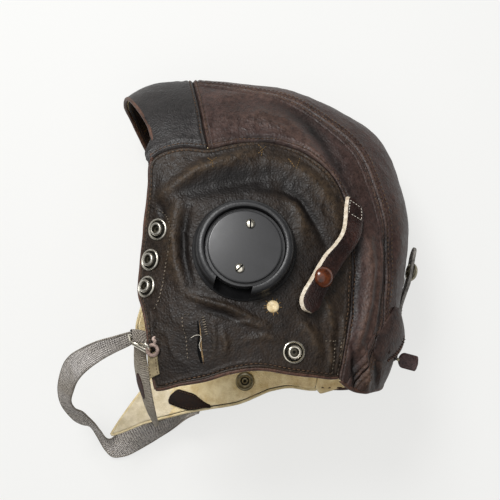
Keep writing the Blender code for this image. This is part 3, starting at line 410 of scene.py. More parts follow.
def woven(name, deep, body, rib, pick):
    """Cotton web: slanted ribs and the picks between them, spaced in millimetres on the strap's own map."""
    material, tree, shader = blank(name, 0.9, specular=0.15)
    strap = add(tree, "UVMap", uv_map="strap").outputs[0]
    split = add(tree, "SeparateXYZ", {0: strap})
    side = add(tree, "Math", {0: split.outputs["Y"]}, operation="ABSOLUTE")
    slant = add(tree, "Math", {0: side.outputs[0], 1: 0.7, 2: split.outputs["X"]}, operation="MULTIPLY_ADD")
    waves = []
    for axis, pitch in ((slant.outputs[0], rib * MM), (split.outputs["Y"], pick * MM)):
        turns = add(tree, "Math", {0: axis, 1: 2 * math.pi / pitch}, operation="MULTIPLY")
        waves.append(add(tree, "Math", {0: turns.outputs[0]}, operation="SINE").outputs[0])
    weave = add(tree, "Math", {0: waves[0], 1: waves[1]}, operation="MULTIPLY")
    height = add(tree, "Math", {0: weave.outputs[0], 1: waves[0]}, operation="ADD").outputs[0]
    place = add(tree, "TexCoord").outputs["Object"]
    fuzz = add(tree, "TexNoise", {"Vector": place, "Scale": FUZZ_SCALE, "Detail": 4, "Roughness": 0.7})
    stain = add(tree, "TexNoise", {"Vector": place, "Scale": DIRT_SCALE, "Detail": 3})
    # Ribs are painted lighter and the gaps between them darker: a painted shade of the weave, beside its bump
    shade = add(tree, "Math", {0: height, 1: 0.12}, operation="MULTIPLY")
    tone = add(tree, "Math", {0: shade.outputs[0], 1: fuzz.outputs["Fac"]}, operation="ADD")
    colour = add(tree, "ValToRGB", {"Fac": tone.outputs[0]}, [(0.28, deep), (0.62, body)])
    dirt = add(tree, "ValToRGB", {"Fac": stain.outputs["Fac"]}, [(0.3, "#d8d4cc"), (0.7, "#ffffff")])
    final = add(tree, "Mix", {"Factor": 1.0, 6: colour.outputs["Color"], 7: dirt.outputs["Color"]},
                data_type="RGBA", blend_type="MULTIPLY")
    tree.links.new(final.outputs[2], shader.inputs["Base Color"])
    bump = add(tree, "Bump", {"Height": height, "Strength": 0.8, "Distance": 0.6 * MM})
    tree.links.new(bump.outputs[0], shader.inputs["Normal"])
    return material


# Glazed goatskin, warm brown: soft sheen, paler on the ridges, partly by rubbing and partly as painted highlight
CROWN_LEATHER = leather("crown goatskin", "#30201b", "#493530", "#6c5347", crease=0.25, specular=0.34)
# The same skin dyed darker: fine pebble, dry ridges, nearly black painted shade in the hollows
EAR_LEATHER = leather("ear goatskin", "#1a120c", "#2c2118", "#54432f", 0.38, 0.66, 1.4, 0.14, 0.28)
# Smooth charcoal goatskin, little handled: even and calm
BROW_LEATHER = leather("brow goatskin", "#211e1d", "#2b2726", "#463f3c", crease=0.12, grain=1.3)
# Soft goatskin of the nape: dull mid brown
NAPE_LEATHER = leather("nape goatskin", "#2a1e19", "#4c3931", "#7a6050", crease=0.25, specular=0.25)
# Burnished cowhide: dark red brown with a clear shine
TAB_LEATHER = leather("tab cowhide", "#170b08", "#29140f", "#502f25", 0.26, 0.45, grain=1.0, crease=0.2)
# Dusty cowhide: greyed red brown
NAPE_STRAP_LEATHER = leather("nape strap cowhide", "#382625", "#523a38", "#745754", 0.35, 0.5, 1.0, 0.15)
# Split hide, flesh side out: pale grey nap without shine
GREY_STRAP = leather("rear tab suede", "#86827d", "#b3aea7", "#c2bdb5", 0.7, 0.85, 0.9, 0.2, 0.2)
# Skiver turned over a cord: its back rubbed light brown
EDGING = leather("rolled edge leather", "#40271e", "#694939", "#8f6b53", 0.45, 0.65, 1.0, 0.3)
# Flesh side of dyed hide: dark and matt
FAR_TAB = leather("cheek tab leather", "#150c08", "#251610", "#3c2920", 0.6, 0.8, 1.2, 0.3, 0.2)
# Dyed calf of the strap's end: red brown, low sheen
LOOP_PATCH = leather("tail patch leather", "#2c1510", "#4c2a22", "#6a4236", 0.5, 0.7, 1.0, 0.2)
# Vegetable-tanned calf, undyed: pinkish and pale
LOOP_LEATHER = leather("loop leather", "#b0968a", "#dcc8bc", "#e8d8cc", 0.45, 0.65, 1.0, 0.2)
# Oil-tanned sheepskin: cream nap in soft clumps, no shine; then the same cooler, greyer and more even, and its cut
# edge
CHAMOIS = plain("chamois", "#dac391", "#fdeec6", 0.95, scale=110, bump=0.8, depth=0.9, specular=0.1)
PALE_CHAMOIS = plain("cool grey chamois", "#c6b898", "#e6dac0", 0.95, scale=90, bump=0.7, depth=0.8, specular=0.1)
CHAMOIS_EDGE = plain("chamois edge", "#c2ae82", "#e8dab4", 0.95, scale=110, bump=0.5, depth=0.5, specular=0.1)
# Raw cut hide: chalky fibres; then a torn one, ragged and brown
CUT_EDGE = plain("cut hide edge", "#b7a892", "#e0d6c4", 0.8, scale=300, bump=0.5, depth=0.3, specular=0.2)
FRAYED_HIDE = plain("frayed hide edge", "#33241a", "#a58a62", 0.9, scale=260, bump=0.8, depth=0.8)
# Undyed hide gone dull: yellow grey
CREAM = plain("cream hide", "#6d624a", "#97896a", 0.7, scale=150, bump=0.3, specular=0.3)
# Pressed wool felt: cream and matt
CREAM_DISC = plain("cream felt", "#c2a878", "#ead9b4", 0.8, scale=200, bump=0.4, specular=0.2)
# Vulcanised rubber, moulded: near black, broad soft shine; then black painted shade for the depth of slots and
# cuts, without shine
RUBBER = plain("moulded rubber", "#181819", "#282829", 0.4, scale=60, bump=0.5, depth=0.3)
SHADE_BLACK = plain("shadowed rubber", "#050506", "#0b0b0c", 0.8, scale=60, specular=0.08)
# Phenolic resin, pressed and polished: dark grey, smooth, tighter shine
BAKELITE = plain("phenolic moulding", "#2a2a2b", "#323233", 0.36, scale=90, bump=0.12, depth=0.1)
# Nickel plate: handled silver, polished, tarnished yellow grey; then painted shade, darker inside a barrel and
# black in grooves and holes
NICKEL = plain("nickel plate", "#a09c91", "#d2cec3", 0.38, 1.0, 240, 0.15, 0.1)
BRIGHT_NICKEL = plain("polished nickel", "#c9c3b2", "#efe9da", 0.22, 1.0, 240, 0.1, 0.1)
DULL_NICKEL = plain("tarnished nickel", "#6a6450", "#a39c86", 0.38, 1.0, 240, 0.2, 0.1)
BARREL_SHADE_NICKEL = plain("painted barrel shade nickel", "#45423a", "#6e6a5d", 0.45, 1.0, 240, 0.2, 0.1)
GROOVE_SHADE_METAL = plain("painted groove shade nickel", "#15140f", "#2a2822", 0.5, 0.8, 240, 0.2, 0.1)
# Stamped steel of the magnets and diaphragms, and lacquered wire of the coils
STEEL = plain("plain steel", "#5c5c5a", "#7b7b78", 0.4, 1.0)
COPPER = plain("enamelled copper", "#7a3b1e", "#a8562d", 0.35, 1.0)
# Stoved lacquer on a steel cap: glossy red brown
CAP = plain("lacquered cap", "#34170b", "#6e371a", 0.16, scale=210, bump=0.1)
# Waxed linen threads: brown, faded grey, dark, worn gold and white, all nearly matt
SEAM_THREAD = plain("brown linen thread", "#261910", "#5d452f", 0.8, scale=60, bump=0.3)
PATCH_THREAD = plain("faded linen thread", "#17120e", "#8f8475", 0.9, scale=130, bump=0.3, specular=0.1)
DARK_THREAD = plain("dark linen thread", "#0d0908", "#221914", 0.9, scale=90, specular=0.15)
GOLD_THREAD = plain("worn linen thread", "#54401f", "#8f6f40", 0.8, scale=90)
PALE_THREAD = plain("white linen thread", "#b9b2a4", "#dcd6c8", 0.8, scale=500)
# Cotton webs: washed white ribs, their denser grey selvedge, and the soiled free end
WEBBING = woven("cotton webbing", "#807a76", "#eee8e2", 2.3, 1.7)
SELVEDGE = woven("web selvedge", "#767069", "#bcb4aa", 2.0, 1.2)
TAIL_WEB = woven("tail webbing", "#857c70", "#cbc2b3", 1.7, 1.3)


# Building helpers
def clear_selection():
    bpy.ops.object.select_all(action="DESELECT")


def select(item):
    clear_selection()
    item.select_set(True)
    bpy.context.view_layer.objects.active = item


def smooth_under(item, degrees):
    """Smooth faces, with an edge kept where they turn by more than an angle."""
    select(item)
    bpy.ops.object.shade_smooth_by_angle(angle=math.radians(degrees))


def put(points, item):
    item.data.vertices.foreach_set("co", np.asarray(points, np.float32).ravel())
    item.data.update()


def corners(item):
    return np.array([v.co for v in item.data.vertices])


def grid(name, columns, rows):
    """Flat grid primitive, with its two shares for each vertex."""
    clear_selection()
    bpy.ops.mesh.primitive_grid_add(x_subdivisions=columns, y_subdivisions=rows, size=1)
    item = bpy.context.object
    item.name = item.data.name = name
    flat = corners(item)
    return item, flat[:, 0] + 0.5, flat[:, 1] + 0.5


def mark(item, name, values):
    values = np.broadcast_to(np.asarray(values, np.float32), len(item.data.vertices))
    item.data.attributes.new(name, "FLOAT", "POINT").data.foreach_set("value", values)


def strap_map(item, along, across):
    """Map in metres: X along the piece, Y across it."""
    layer = item.data.uv_layers.new(name="strap")
    corner = np.empty(len(item.data.loops), np.int32)
    item.data.loops.foreach_get("vertex_index", corner)
    layer.data.foreach_set("uv", np.stack([along[corner], across[corner]], 1).astype(np.float32).ravel())


def apply(item):
    select(item)
    for modifier in list(item.modifiers):
        bpy.ops.object.modifier_apply(modifier=modifier.name)


def wall(item, thickness):
    """Joins a sheet's meeting ends, turns it to face away from the ear line and gives it its thickness."""
    mesh = item.data
    shape = bmesh.new()
    shape.from_mesh(mesh)
    bmesh.ops.remove_doubles(shape, verts=shape.verts, dist=2e-5)
    shape.to_mesh(mesh)
    shape.free()
    if sum(face.normal.dot(face.center - Vector(MIDDLE)) * face.area for face in mesh.polygons) < 0:
        mesh.flip_normals()
    solid = item.modifiers.new("wall", "SOLIDIFY")
    solid.thickness = thickness
    solid.offset = -1
    solid.use_even_offset = False
    solid.material_offset_rim = 0
    apply(item)


def done(item, materials, nodes=(), body="shell"):
    """Gives a piece its materials, its body and the CAD nodes it stands for."""
    shades = [face.material_index for face in item.data.polygons]
    item.data.materials.clear()
    for material in materials if isinstance(materials, list) else [materials]:
        item.data.materials.append(material)
    item.data.polygons.foreach_set("material_index", shades)
    for face in item.data.polygons:
        face.use_smooth = True
    if body:
        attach(item, body)
    if nodes:
        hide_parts(*nodes)
    return item


# Leather panels: fine rows next to the seams, where the leather turns down and swells. Lumps and creases are by
# their real size in millimetres; painted shade lies in a band round the receiver, and the pocket's painted shade is
# set by its place and half sizes in the picture.
FINE_STEP, FINE_ROWS = 0.6 * MM, 10
STITCH_LINE = 3.2
BROAD_LUMP, SMALL_LUMP, CREASE_SPACING, PUCKER_SIZE = 24 * MM, 6 * MM, 17 * MM, 2.6 * MM
RUB_PATCH, SHADE_PATCH, CALM_PATCH = 30 * MM, 12 * MM, 45 * MM
RUB_AND_HIGHLIGHT_RISE, FULL_SHADE_DEPTH = 3.2 * MM, 2.2 * MM
RING_RADIUS, RING_SHADE = 38 * MM, 12
POCKET_SHADE = (192, 331), (6, 15)
DARKEST = 0.88


def spread(share, count, length, low, high):
    """Moves even steps so that they lie close together next to a seam."""
    fine = np.minimum(FINE_STEP, length / count)
    first, last = (FINE_ROWS if low else 0), (FINE_ROWS if high else 0)
    i = share * count
    middle = length - fine * (first + last)
    place = np.where(i < first, i * fine, first * fine + (i - first) / (count - first - last) * middle)
    place = np.where(i > count - last, length - (count - i) * fine, place)
    return place / length


def seam_shape(distance, rows):
    """Height next to a seam, with a furrow under each row of stitches."""
    height = -1.6 * MM * hump(distance, 0, 1.0) + 0.55 * MM * hump(distance, 5.4, 1.8)
    height += 0.25 * MM * hump(distance, 1.7, 0.8)
    for row in rows:
        height -= 0.45 * MM * hump(distance, row, 0.7)
    return height


def panel(name, columns, rows, place, seams, material, node, length, wear=1.0, ripple=0.35):
    """Leather panel; place maps shares to angle and level, seams gives the sewn edges their stitch rows."""
    item, u, w = grid(name, columns, rows)
    u = spread(u, columns, length, "start" in seams, "end" in seams)
    width = np.zeros_like(u)
    before = shell(*place(u, np.zeros_like(u)))
    for k in range(1, 9):
        here = shell(*place(u, np.full_like(u, k / 8)))
        width += np.linalg.norm(here - before, axis=1)
        before = here
    w = spread(w, rows, width, "low" in seams, "high" in seams)
    angle, level = place(u, w)
    points, normals = dressed(angle, level)
    height, rub_and_highlight, groove = np.zeros((3, len(u)))
    edges = {"low": w * width, "high": (1 - w) * width, "start": u * length, "end": (1 - u) * length}
    for edge, distance in edges.items():
        if edge in seams:
            height += seam_shape(distance, seams[edge])
            rub_and_highlight += 0.5 * hump(distance, 2, 1.6)
            groove += 0.6 * hump(distance, 0, 1.1) + 0.4 * hump(distance, STITCH_LINE, 0.7)
    height += ripple * MM * (1.6 * rough(points, BROAD_LUMP, 3) + 0.5 * rough(points, SMALL_LUMP, 11))
    lines = wrinkles(points * np.array([1.0, 0.75, 1.0]), CREASE_SPACING, 31)
    calm = fade(np.minimum(w, 1 - w) * width, 2 * MM, 9 * MM)
    patchy = 0.4 + 0.9 * np.clip(0.5 + rough(points, CALM_PATCH, 61), 0, 1)
    height += ripple * 1.1 * MM * lines * calm * patchy
    pucker = hump(edges["low"], STITCH_LINE, 2.6) + hump(edges["high"], STITCH_LINE, 2.6)
    height += 0.3 * MM * pucker * rough(points, PUCKER_SIZE, 71)
    bend = fold(shell(angle, level), level)
    # Paler where the folds rise: partly real rubbing, partly painted highlight
    rub_and_highlight += wear * np.clip(0.1 + bend / RUB_AND_HIGHLIGHT_RISE, 0, 1) + 0.2 * rough(points, RUB_PATCH, 7)
    arm = points - MIDDLE
    ring_away = np.abs(np.linalg.norm(arm - (arm @ EAR_AXIS)[:, None] * EAR_AXIS, axis=1) - RING_RADIUS)
    (pocket_x, pocket_y), (pocket_wide, pocket_high) = POCKET_SHADE
    seen = pixel(points)
    pocket = np.exp(-((seen[:, 0] - pocket_x) / pocket_wide) ** 2 - ((seen[:, 1] - pocket_y) / pocket_high) ** 2)
    # Painted shade: darker in the hollows of the folds, in a band round the receiver ring, along the seam lines and
    # stitch rows, and over the pocket
    dark = 0.95 * np.clip(-bend / FULL_SHADE_DEPTH, 0, 1) + 0.55 * hump(ring_away, 0, RING_SHADE) + groove
    dark += 0.6 * pocket * (points[:, 2] > 0.1)
    mark(item, "hollow", np.clip(dark * (0.85 + 0.5 * rough(points, SHADE_PATCH, 91)), 0, DARKEST))
    put(points + normals * height[:, None], item)
    mark(item, "wear", np.clip(rub_and_highlight, 0, 1))
    strap_map(item, u * length, w * width)
    wall(item, LEATHER)
    return done(item, material, [node])


def across(edge, start, end):
    """Place of a panel that crosses the middle plane."""
    def place(u, w):
        side = 2 * w - 1
        angle = start(0) + (end(0) - start(0)) * u
        level = side * edge(angle)
        angle = start(level) + (end(level) - start(level)) * u
        return angle, side * edge(angle)
    return place


def between(side, low, high, start, end):
    """Place of a panel between two level curves."""
    def place(u, w):
        first, last = start(side / 2), end(side / 2)
        angle = first + (last - first) * u
        level = side * (low(angle) + (high(angle) - low(angle)) * w)
        angle = start(level) + (end(level) - start(level)) * u
        return angle, side * (low(angle) + (high(angle) - low(angle)) * w)
    return place


def round_ear(side, margin=0.0):
    """Place of the ring round an ear, from its outer edge to its hole."""
    def place(u, w):
        angle = np.interp(u, CORNER_SHARES, PANEL_CORNERS)
        front, neck = (FRONT_EDGE, NECK_EDGE) if side > 0 else (FRONT_EDGE_RIGHT, NECK_EDGE_RIGHT)
        outer = np.where(angle <= PANEL_CORNERS[1], ear_seam(angle),
                         np.where(angle <= PANEL_CORNERS[2], follow(front, angle), follow(neck, angle)))
        outer = outer + margin / (math.pi / 2 * CROWN_REACH) * 1.6
        inner = np.arccos((EAR_HOLE[side] / reach_at(angle)) ** (BOXINESS / 2)) * 2 / math.pi
        return angle, side * (outer + (inner - outer) * w)
    return place


def crown_seam(angle):
    return follow(CROWN_SEAM, angle)


def ear_seam(angle):
    return follow(EAR_SEAM, angle)


def brow_seam(level):
    return follow(BROW_SEAM, np.abs(level))


def brow_edge(level):
    return follow(BROW_EDGE, np.abs(level))


def nape_crease(level):
    return follow(NAPE_CREASE, np.abs(level))


def nape_edge(level):
    return np.where(np.asarray(level) > 0, follow(NAPE_EDGE, np.abs(level)), follow(NAPE_EDGE_RIGHT, np.abs(level)))


ONE_ROW, TWO_ROWS = [STITCH_LINE], [STITCH_LINE, 8]
panel("brow_panel_leather", 60, 150, across(ear_seam, brow_seam, brow_edge),
      {"start": ONE_ROW, "low": ONE_ROW, "high": ONE_ROW}, BROW_LEATHER, "brow_panel", 0.055,
      0.3, 0.25)
panel("crown_strip_leather", 300, 120, across(crown_seam, nape_crease, brow_seam),
      {"start": ONE_ROW, "end": ONE_ROW, "low": ONE_ROW, "high": ONE_ROW}, CROWN_LEATHER,
      "crown_strip", 0.32, 0.6)
panel("nape_skirt_leather", 50, 120, across(crown_seam, nape_edge, nape_crease),
      {"end": ONE_ROW, "low": ONE_ROW, "high": ONE_ROW}, NAPE_LEATHER, "nape_skirt", 0.05,
      0.6, 0.4)
for word, side in SIDES:
    detail = 1.0 if side > 0 else 0.6
    panel("crown_panel_leather_" + word, int(330 * detail), int(72 * detail),
          between(side, crown_seam, ear_seam, nape_edge, brow_seam),
          {"end": ONE_ROW, "low": TWO_ROWS, "high": ONE_ROW}, CROWN_LEATHER,
          "crown_panel_" + word, 0.36, 0.8)
    panel("ear_panel_leather_" + word, int(490 * detail), int(78 * detail), round_ear(side), {"low": ONE_ROW},
          EAR_LEATHER, "ear_panel_" + word, 0.7, 0.9, 0.42)


# Chamois linings follow the leather just inside it
NAP_DEPTH, NAP_CLUMP = 0.35 * MM, 9 * MM


def lining(name, columns, rows, place, nodes, lift=-1.75, nap=1.0, material=CHAMOIS):
    item, u, w = grid(name, columns, rows)
    points, normals = dressed(*place(u, w), lift * MM)
    clumps = NAP_DEPTH * rough(points, NAP_CLUMP, 21) * nap
    put(points - normals * np.abs(clumps)[:, None], item)
    wall(item, LINING)
    return done(item, material, nodes)


lining("lining_chamois_crown", 150, 130, across(lambda a: ear_seam(a) + 0.004, lambda l: nape_edge(l) + 0.5,
                                                lambda l: brow_edge(l) - 0.5), ["lining_crown"])
for word, side in SIDES:
    flap = lining("lining_chamois_" + word, 260, 40, round_ear(side, 1.0 * MM), ["lining_" + word])
# The far flap's cheek, left of and below given places in the picture, takes a cooler, greyer chamois
GREY_LEFT_OF, GREY_BELOW = 171, 380
flap.data.materials.append(PALE_CHAMOIS)
for face in flap.data.polygons:
    shown = pixel(np.array(face.center))
    face.material_index = int(shown[0] < GREY_LEFT_OF and shown[1] > GREY_BELOW)
lining("brow_facing_hide", 20, 90, across(lambda a: ear_seam(a) - 0.01, lambda l: brow_seam(l) + 1.0,
                                          lambda l: brow_edge(l) - 0.4), [], -3.5, 0.3, FAR_TAB)

SKINS = []
for item in bpy.data.objects:
    if "_leather" in item.name:
        skin = bmesh.new()
        skin.from_mesh(item.data)
        SKINS.append(BVHTree.FromBMesh(skin))
        skin.free()


def land(points, normals, lift):
    """Drops points along the normals onto the finished leather."""
    landed = []
    for point, normal in zip(points, normals):
        spot, nearest = point, math.inf
        for skin in SKINS:
            hit, _, _, away = skin.ray_cast(Vector(point + normal * 8 * MM), Vector(-normal), 16 * MM)
            if hit is not None and away < nearest:
                spot, nearest = np.array(hit), away
        landed.append(spot + normal * lift)
    return np.array(landed), normals


def basis(place, towards, normal):
    """Matrix with Z along a normal and X near a direction."""
    z = Vector(normal).normalized()
    x = Vector(towards)
    x = (x - z * x.dot(z)).normalized()
    matrix = Matrix((x, z.cross(x), z)).transposed().to_4x4()
    matrix.translation = Vector(place)
    return matrix


def on_shell(angle, level, lift=0.0):
    along = shell(angle + 0.5, level) - shell(angle - 0.5, level)
    normal = outwards(angle, level)
    return basis(shell(angle, level) + normal * lift, along, normal)


STUD_SEAT, SEAT_ARM = 8 * MM, 80 * MM


def seat(angle, level):
    """Frame for a stud on the leather, lifted clear of what rises under it."""
    inverse = on_shell(angle, level).inverted()
    most = 0.0
    for turn in np.radians(range(0, 360, 30)):
        for reach in (STUD_SEAT / 2, STUD_SEAT):
            near = inverse @ Vector(shell(angle + math.degrees(reach / SEAT_ARM) * math.cos(turn),
                                          level + reach / HALF_WIDTH_LEFT * math.sin(turn)))
            if near.xy.length < STUD_SEAT * 1.3:
                most = max(most, near.z)
    return on_shell(angle, level, most)


def smooth_run(points, count):
    """Smooth curve through hand-set points, in even steps."""
    points = np.array(points, float)
    index = np.arange(len(points))
    fine = np.linspace(0, len(points) - 1, count * 8)
    run = np.stack([follow(np.stack([index, line], 1), fine) for line in points.T], 1)
    length = lengths(run)
    even = np.linspace(0, length[-1], count)
    return np.stack([np.interp(even, length, line) for line in run.T], 1)


def lengths(run):
    return np.concatenate([[0], np.cumsum(np.linalg.norm(np.diff(run, axis=0), axis=1))])


def tangents(run, cyclic=False):
    if cyclic:
        return unit(np.roll(run, -1, 0) - np.roll(run, 1, 0))
    return unit(np.gradient(run, axis=0))


def sweep(name, centres, sideways, normals, offsets, paint=None, cyclic=False):
    """Closed section carried along a run; offsets are (across, up) for each station and point."""
    count, sides = offsets.shape[:2]
    columns = count if cyclic else count - 1
    item, u, w = grid(name, columns, sides)
    col = np.rint(u * columns).astype(int) % count
    row = np.rint(w * sides).astype(int) % sides
    spot = offsets[col, row]
    put(centres[col] + sideways[col] * spot[:, :1] + normals[col] * spot[:, 1:], item)
    strap_map(item, lengths(centres)[col], spot[:, 0])
    if paint:
        for face in item.data.polygons:
            middle = sum(w[v] for v in face.vertices) / len(face.vertices)
            face.material_index = paint[min(int(middle * sides), sides - 1)]
    shape = bmesh.new()
    shape.from_mesh(item.data)
    bmesh.ops.remove_doubles(shape, verts=shape.verts, dist=1e-6)
    if not cyclic:
        bmesh.ops.holes_fill(shape, edges=[e for e in shape.edges if e.is_boundary], sides=0)
    bmesh.ops.recalc_face_normals(shape, faces=shape.faces)
    shape.to_mesh(item.data)
    shape.free()
    return item


def flat_section(widths, thickness, crown=0.0):
    """Strap section with half-round edges, its middle at zero."""
    half = np.atleast_1d(widths)[:, None] / 2
    radius = thickness / 2
    turns = np.radians([-90, -45, 0, 45, 90])
    bead = np.stack([np.cos(turns) * radius, np.sin(turns) * radius], 1)
    face = (-0.6, -0.2, 0.2, 0.6)
    rows = [(-(half - radius) - dx, dz) for dx, dz in bead]
    rows += [((half - radius) * share, radius + crown * (1 - share * share)) for share in face]
    rows += [((half - radius) + dx, dz) for dx, dz in bead[::-1]]
    rows += [((half - radius) * share, -radius + crown * (1 - share * share)) for share in face[::-1]]
    return np.concatenate([np.stack([a, np.full_like(half, up)], -1) for a, up in rows], 1)


def rod(name, run, radius, reference, material, sides=10, flatten=1.0, cyclic=False, nodes=()):
    """Round or oval rod along a run."""
    ahead = tangents(run, cyclic)
    sideways = unit(np.cross(ahead, np.broadcast_to(np.asarray(reference, float), run.shape)))
    turns = np.arange(sides) / sides * 2 * math.pi
    radii = np.broadcast_to(radius, len(run))[:, None]
    section = np.stack([radii * np.cos(turns), radii * flatten * np.sin(turns)], -1)
    return done(sweep(name, run, sideways, np.cross(sideways, ahead), section, None, cyclic), material, nodes)


def turned(name, profile, matrix, materials, nodes, body="shell", sides=48, shades=None):
    """Turned from a circle: each profile point is one extrusion, as radius and height in metres."""
    clear_selection()
    tip = 0.01 * MM
    radius, height = profile[0]
    bpy.ops.mesh.primitive_circle_add(vertices=sides, radius=max(radius, tip), location=(0, 0, 0))
    item = bpy.context.object
    item.name = item.data.name = name
    bpy.ops.object.mode_set(mode="EDIT")
    bpy.ops.mesh.select_all(action="SELECT")
    bpy.ops.transform.translate(value=(0, 0, height))
    here = max(radius, tip)
    for radius, level in profile[1:]:
        radius = max(radius, tip)
        bpy.ops.mesh.extrude_region_move(TRANSFORM_OT_translate={"value": (0, 0, level - height)})
        bpy.ops.transform.resize(value=(radius / here, radius / here, 1), center_override=(0, 0, level))
        here, height = radius, level
    bpy.ops.mesh.select_all(action="SELECT")
    bpy.ops.mesh.remove_doubles(threshold=3e-5)
    bpy.ops.mesh.select_all(action="SELECT")
    bpy.ops.mesh.normals_make_consistent(inside=False)
    bpy.ops.object.mode_set(mode="OBJECT")
    if shades:
        for face in item.data.polygons:
            face.material_index = shades(face.center.xy.length, face.center.z)
    item.matrix_world = matrix
    select(item)
    bpy.ops.object.transform_apply(location=True, rotation=True, scale=True)
    done(item, materials, nodes, body)
    smooth_under(item, 40)
    return item


def cut_with(item, size, matrix, edge, shade):
    """Cuts a bevelled box out of a piece; the cut faces take a material of their own, the black painted shade of
    the cut.
    """
    clear_selection()
    bpy.ops.mesh.primitive_cube_add(size=1)
    cutter = bpy.context.object
    cutter.scale = size
    bpy.ops.object.transform_apply(scale=True)
    if edge:
        bevel = cutter.modifiers.new("edge", "BEVEL")
        bevel.width = edge
        bevel.segments = 3
        apply(cutter)
    cutter.matrix_world = matrix
    cutter.data.materials.append(shade)
    boolean = item.modifiers.new("cut", "BOOLEAN")
    boolean.material_mode = "TRANSFER"
    boolean.operation = "DIFFERENCE"
    boolean.object = cutter
    bpy.context.view_layer.update()
    apply(item)
    bpy.data.objects.remove(cutter, do_unlink=True)
    smooth_under(item, 35)


# One stitch, modelled once and copied along each row
clear_selection()
bpy.ops.mesh.primitive_uv_sphere_add(segments=6, ring_count=5, radius=1)
knot = bpy.context.object
STITCH_POINTS = corners(knot)[:, [2, 0, 1]]
STITCH_FACES = [list(f.vertices) for f in knot.data.polygons]
bpy.data.objects.remove(knot, do_unlink=True)


def stitches(name, rows, material, length, gap, thick, lift=None):
    """Running stitches on runs of points and normals, in millimetres; with a lift they drop onto the leather."""
    length, gap, thick = length * MM, gap * MM, thick * MM
    points, faces = [], []
    for run, normals in rows:
        total = lengths(run)
        places = np.arange(length / 2, total[-1] - length / 2, length + gap)
        if not len(places):
            continue

        def read(values, spots):
            return np.stack([np.interp(spots, total, values[:, k]) for k in range(3)], 1)
        centre, facing = read(run, places), unit(read(normals, places))
        ahead = unit(read(run, places + 0.5 * MM) - read(run, places - 0.5 * MM))
        if lift is not None:
            centre, facing = land(centre, facing, lift * MM)
        sideways = unit(np.cross(facing, ahead))
        facing = np.cross(ahead, sideways)
        for c, a, s, n in zip(centre, ahead, sideways, facing):
            start = len(points) * len(STITCH_POINTS)
            points.append(c + STITCH_POINTS[:, :1] * a * length / 2 + STITCH_POINTS[:, 1:2] * s * thick
                          + STITCH_POINTS[:, 2:] * n * thick * 0.8)
            faces += [[start + v for v in f] for f in STITCH_FACES]
    mesh = bpy.data.meshes.new(name)
    mesh.from_pydata(np.concatenate(points).tolist(), [], faces)
    item = bpy.data.objects.new(name, mesh)
    bpy.context.scene.collection.objects.link(item)
    return done(item, material)


def seam_row(table, side, shift, start, end):
    """Row beside a seam that runs round the shell, some millimetres from it across the levels."""
    angles = np.linspace(start, end, 260)
    levels = follow(table, angles)
    return dressed(angles, side * (levels + shift * MM / metres_per_level(angles, levels)))


def cross_row(table, shift, low, high):
    """Row beside a seam that crosses the middle plane, some millimetres from it along the angles."""
    levels = np.linspace(low, high, 160)
    angles = follow(table, np.abs(levels))
    return dressed(angles + shift * MM / metres_per_degree(angles, levels), levels)


def picture_row(pixels, count=80):
    """Row through places of the picture, laid on the leather."""
    pairs = np.array([place_at(x, y) for x, y in smooth_run(pixels, count)])
    return dressed(pairs[:, 0], pairs[:, 1])


near_rows = [seam_row(CROWN_SEAM, 1, d, -46.5, 102) for d in (-6.8, -3.2, 3.2)]
near_rows += [seam_row(EAR_SEAM, 1, d, -47.5, 133) for d in (-3.2, 3.2)]
near_rows += [cross_row(BROW_SEAM, d, -0.65, 0.66) for d in (-2.6, 2.6)]
near_rows += [cross_row(NAPE_CREASE, d, -0.36, 0.16) for d in (-2.6, 2.6)]
near_rows += [seam_row(NECK_EDGE, 1, 3.6, 240, 306), seam_row(FRONT_EDGE, 1, 3.0, 136, 236)]
far_rows = [seam_row(CROWN_SEAM, -1, d, -43, 102) for d in (-3.2, 3.2)]
far_rows += [seam_row(EAR_SEAM, -1, d, -47.5, 133) for d in (-3.2, 3.2)]
far_rows += [seam_row(NECK_EDGE_RIGHT, -1, 3.6, 242, 306), seam_row(FRONT_EDGE_RIGHT, -1, 3.0, 136, 229)]
SEAM_STITCH = 2.4, 1.0, 0.42, 0.2
stitches("seam_stitches_left", near_rows, SEAM_THREAD, *SEAM_STITCH)
stitches("seam_stitches_right", far_rows, SEAM_THREAD, *SEAM_STITCH)

# Turned-in allowances close each seam from the inside
ALLOWANCE_DEPTH, ALLOWANCE_RADIUS = 1.9 * MM, 1.3 * MM
ALLOWANCES = [("crown_left", seam_row(CROWN_SEAM, 1, 0, -44, 104), "crown_leather"),
              ("ear_left", seam_row(EAR_SEAM, 1, 0, -50, 134), "crown_leather"),
              ("crown_right", seam_row(CROWN_SEAM, -1, 0, -44, 104), "crown_leather"),
              ("ear_right", seam_row(EAR_SEAM, -1, 0, -50, 134), "crown_leather"),
              ("brow", cross_row(BROW_SEAM, 0, -0.7, 0.7), "brow_leather"),
              ("nape", cross_row(NAPE_CREASE, 0, -0.4, 0.4), "crown_leather")]
for word, (run, facing), slot in ALLOWANCES:
    rod("seam_allowance_" + word, run - facing * ALLOWANCE_DEPTH, ALLOWANCE_RADIUS, facing, FAR_TAB, 8, 0.6)

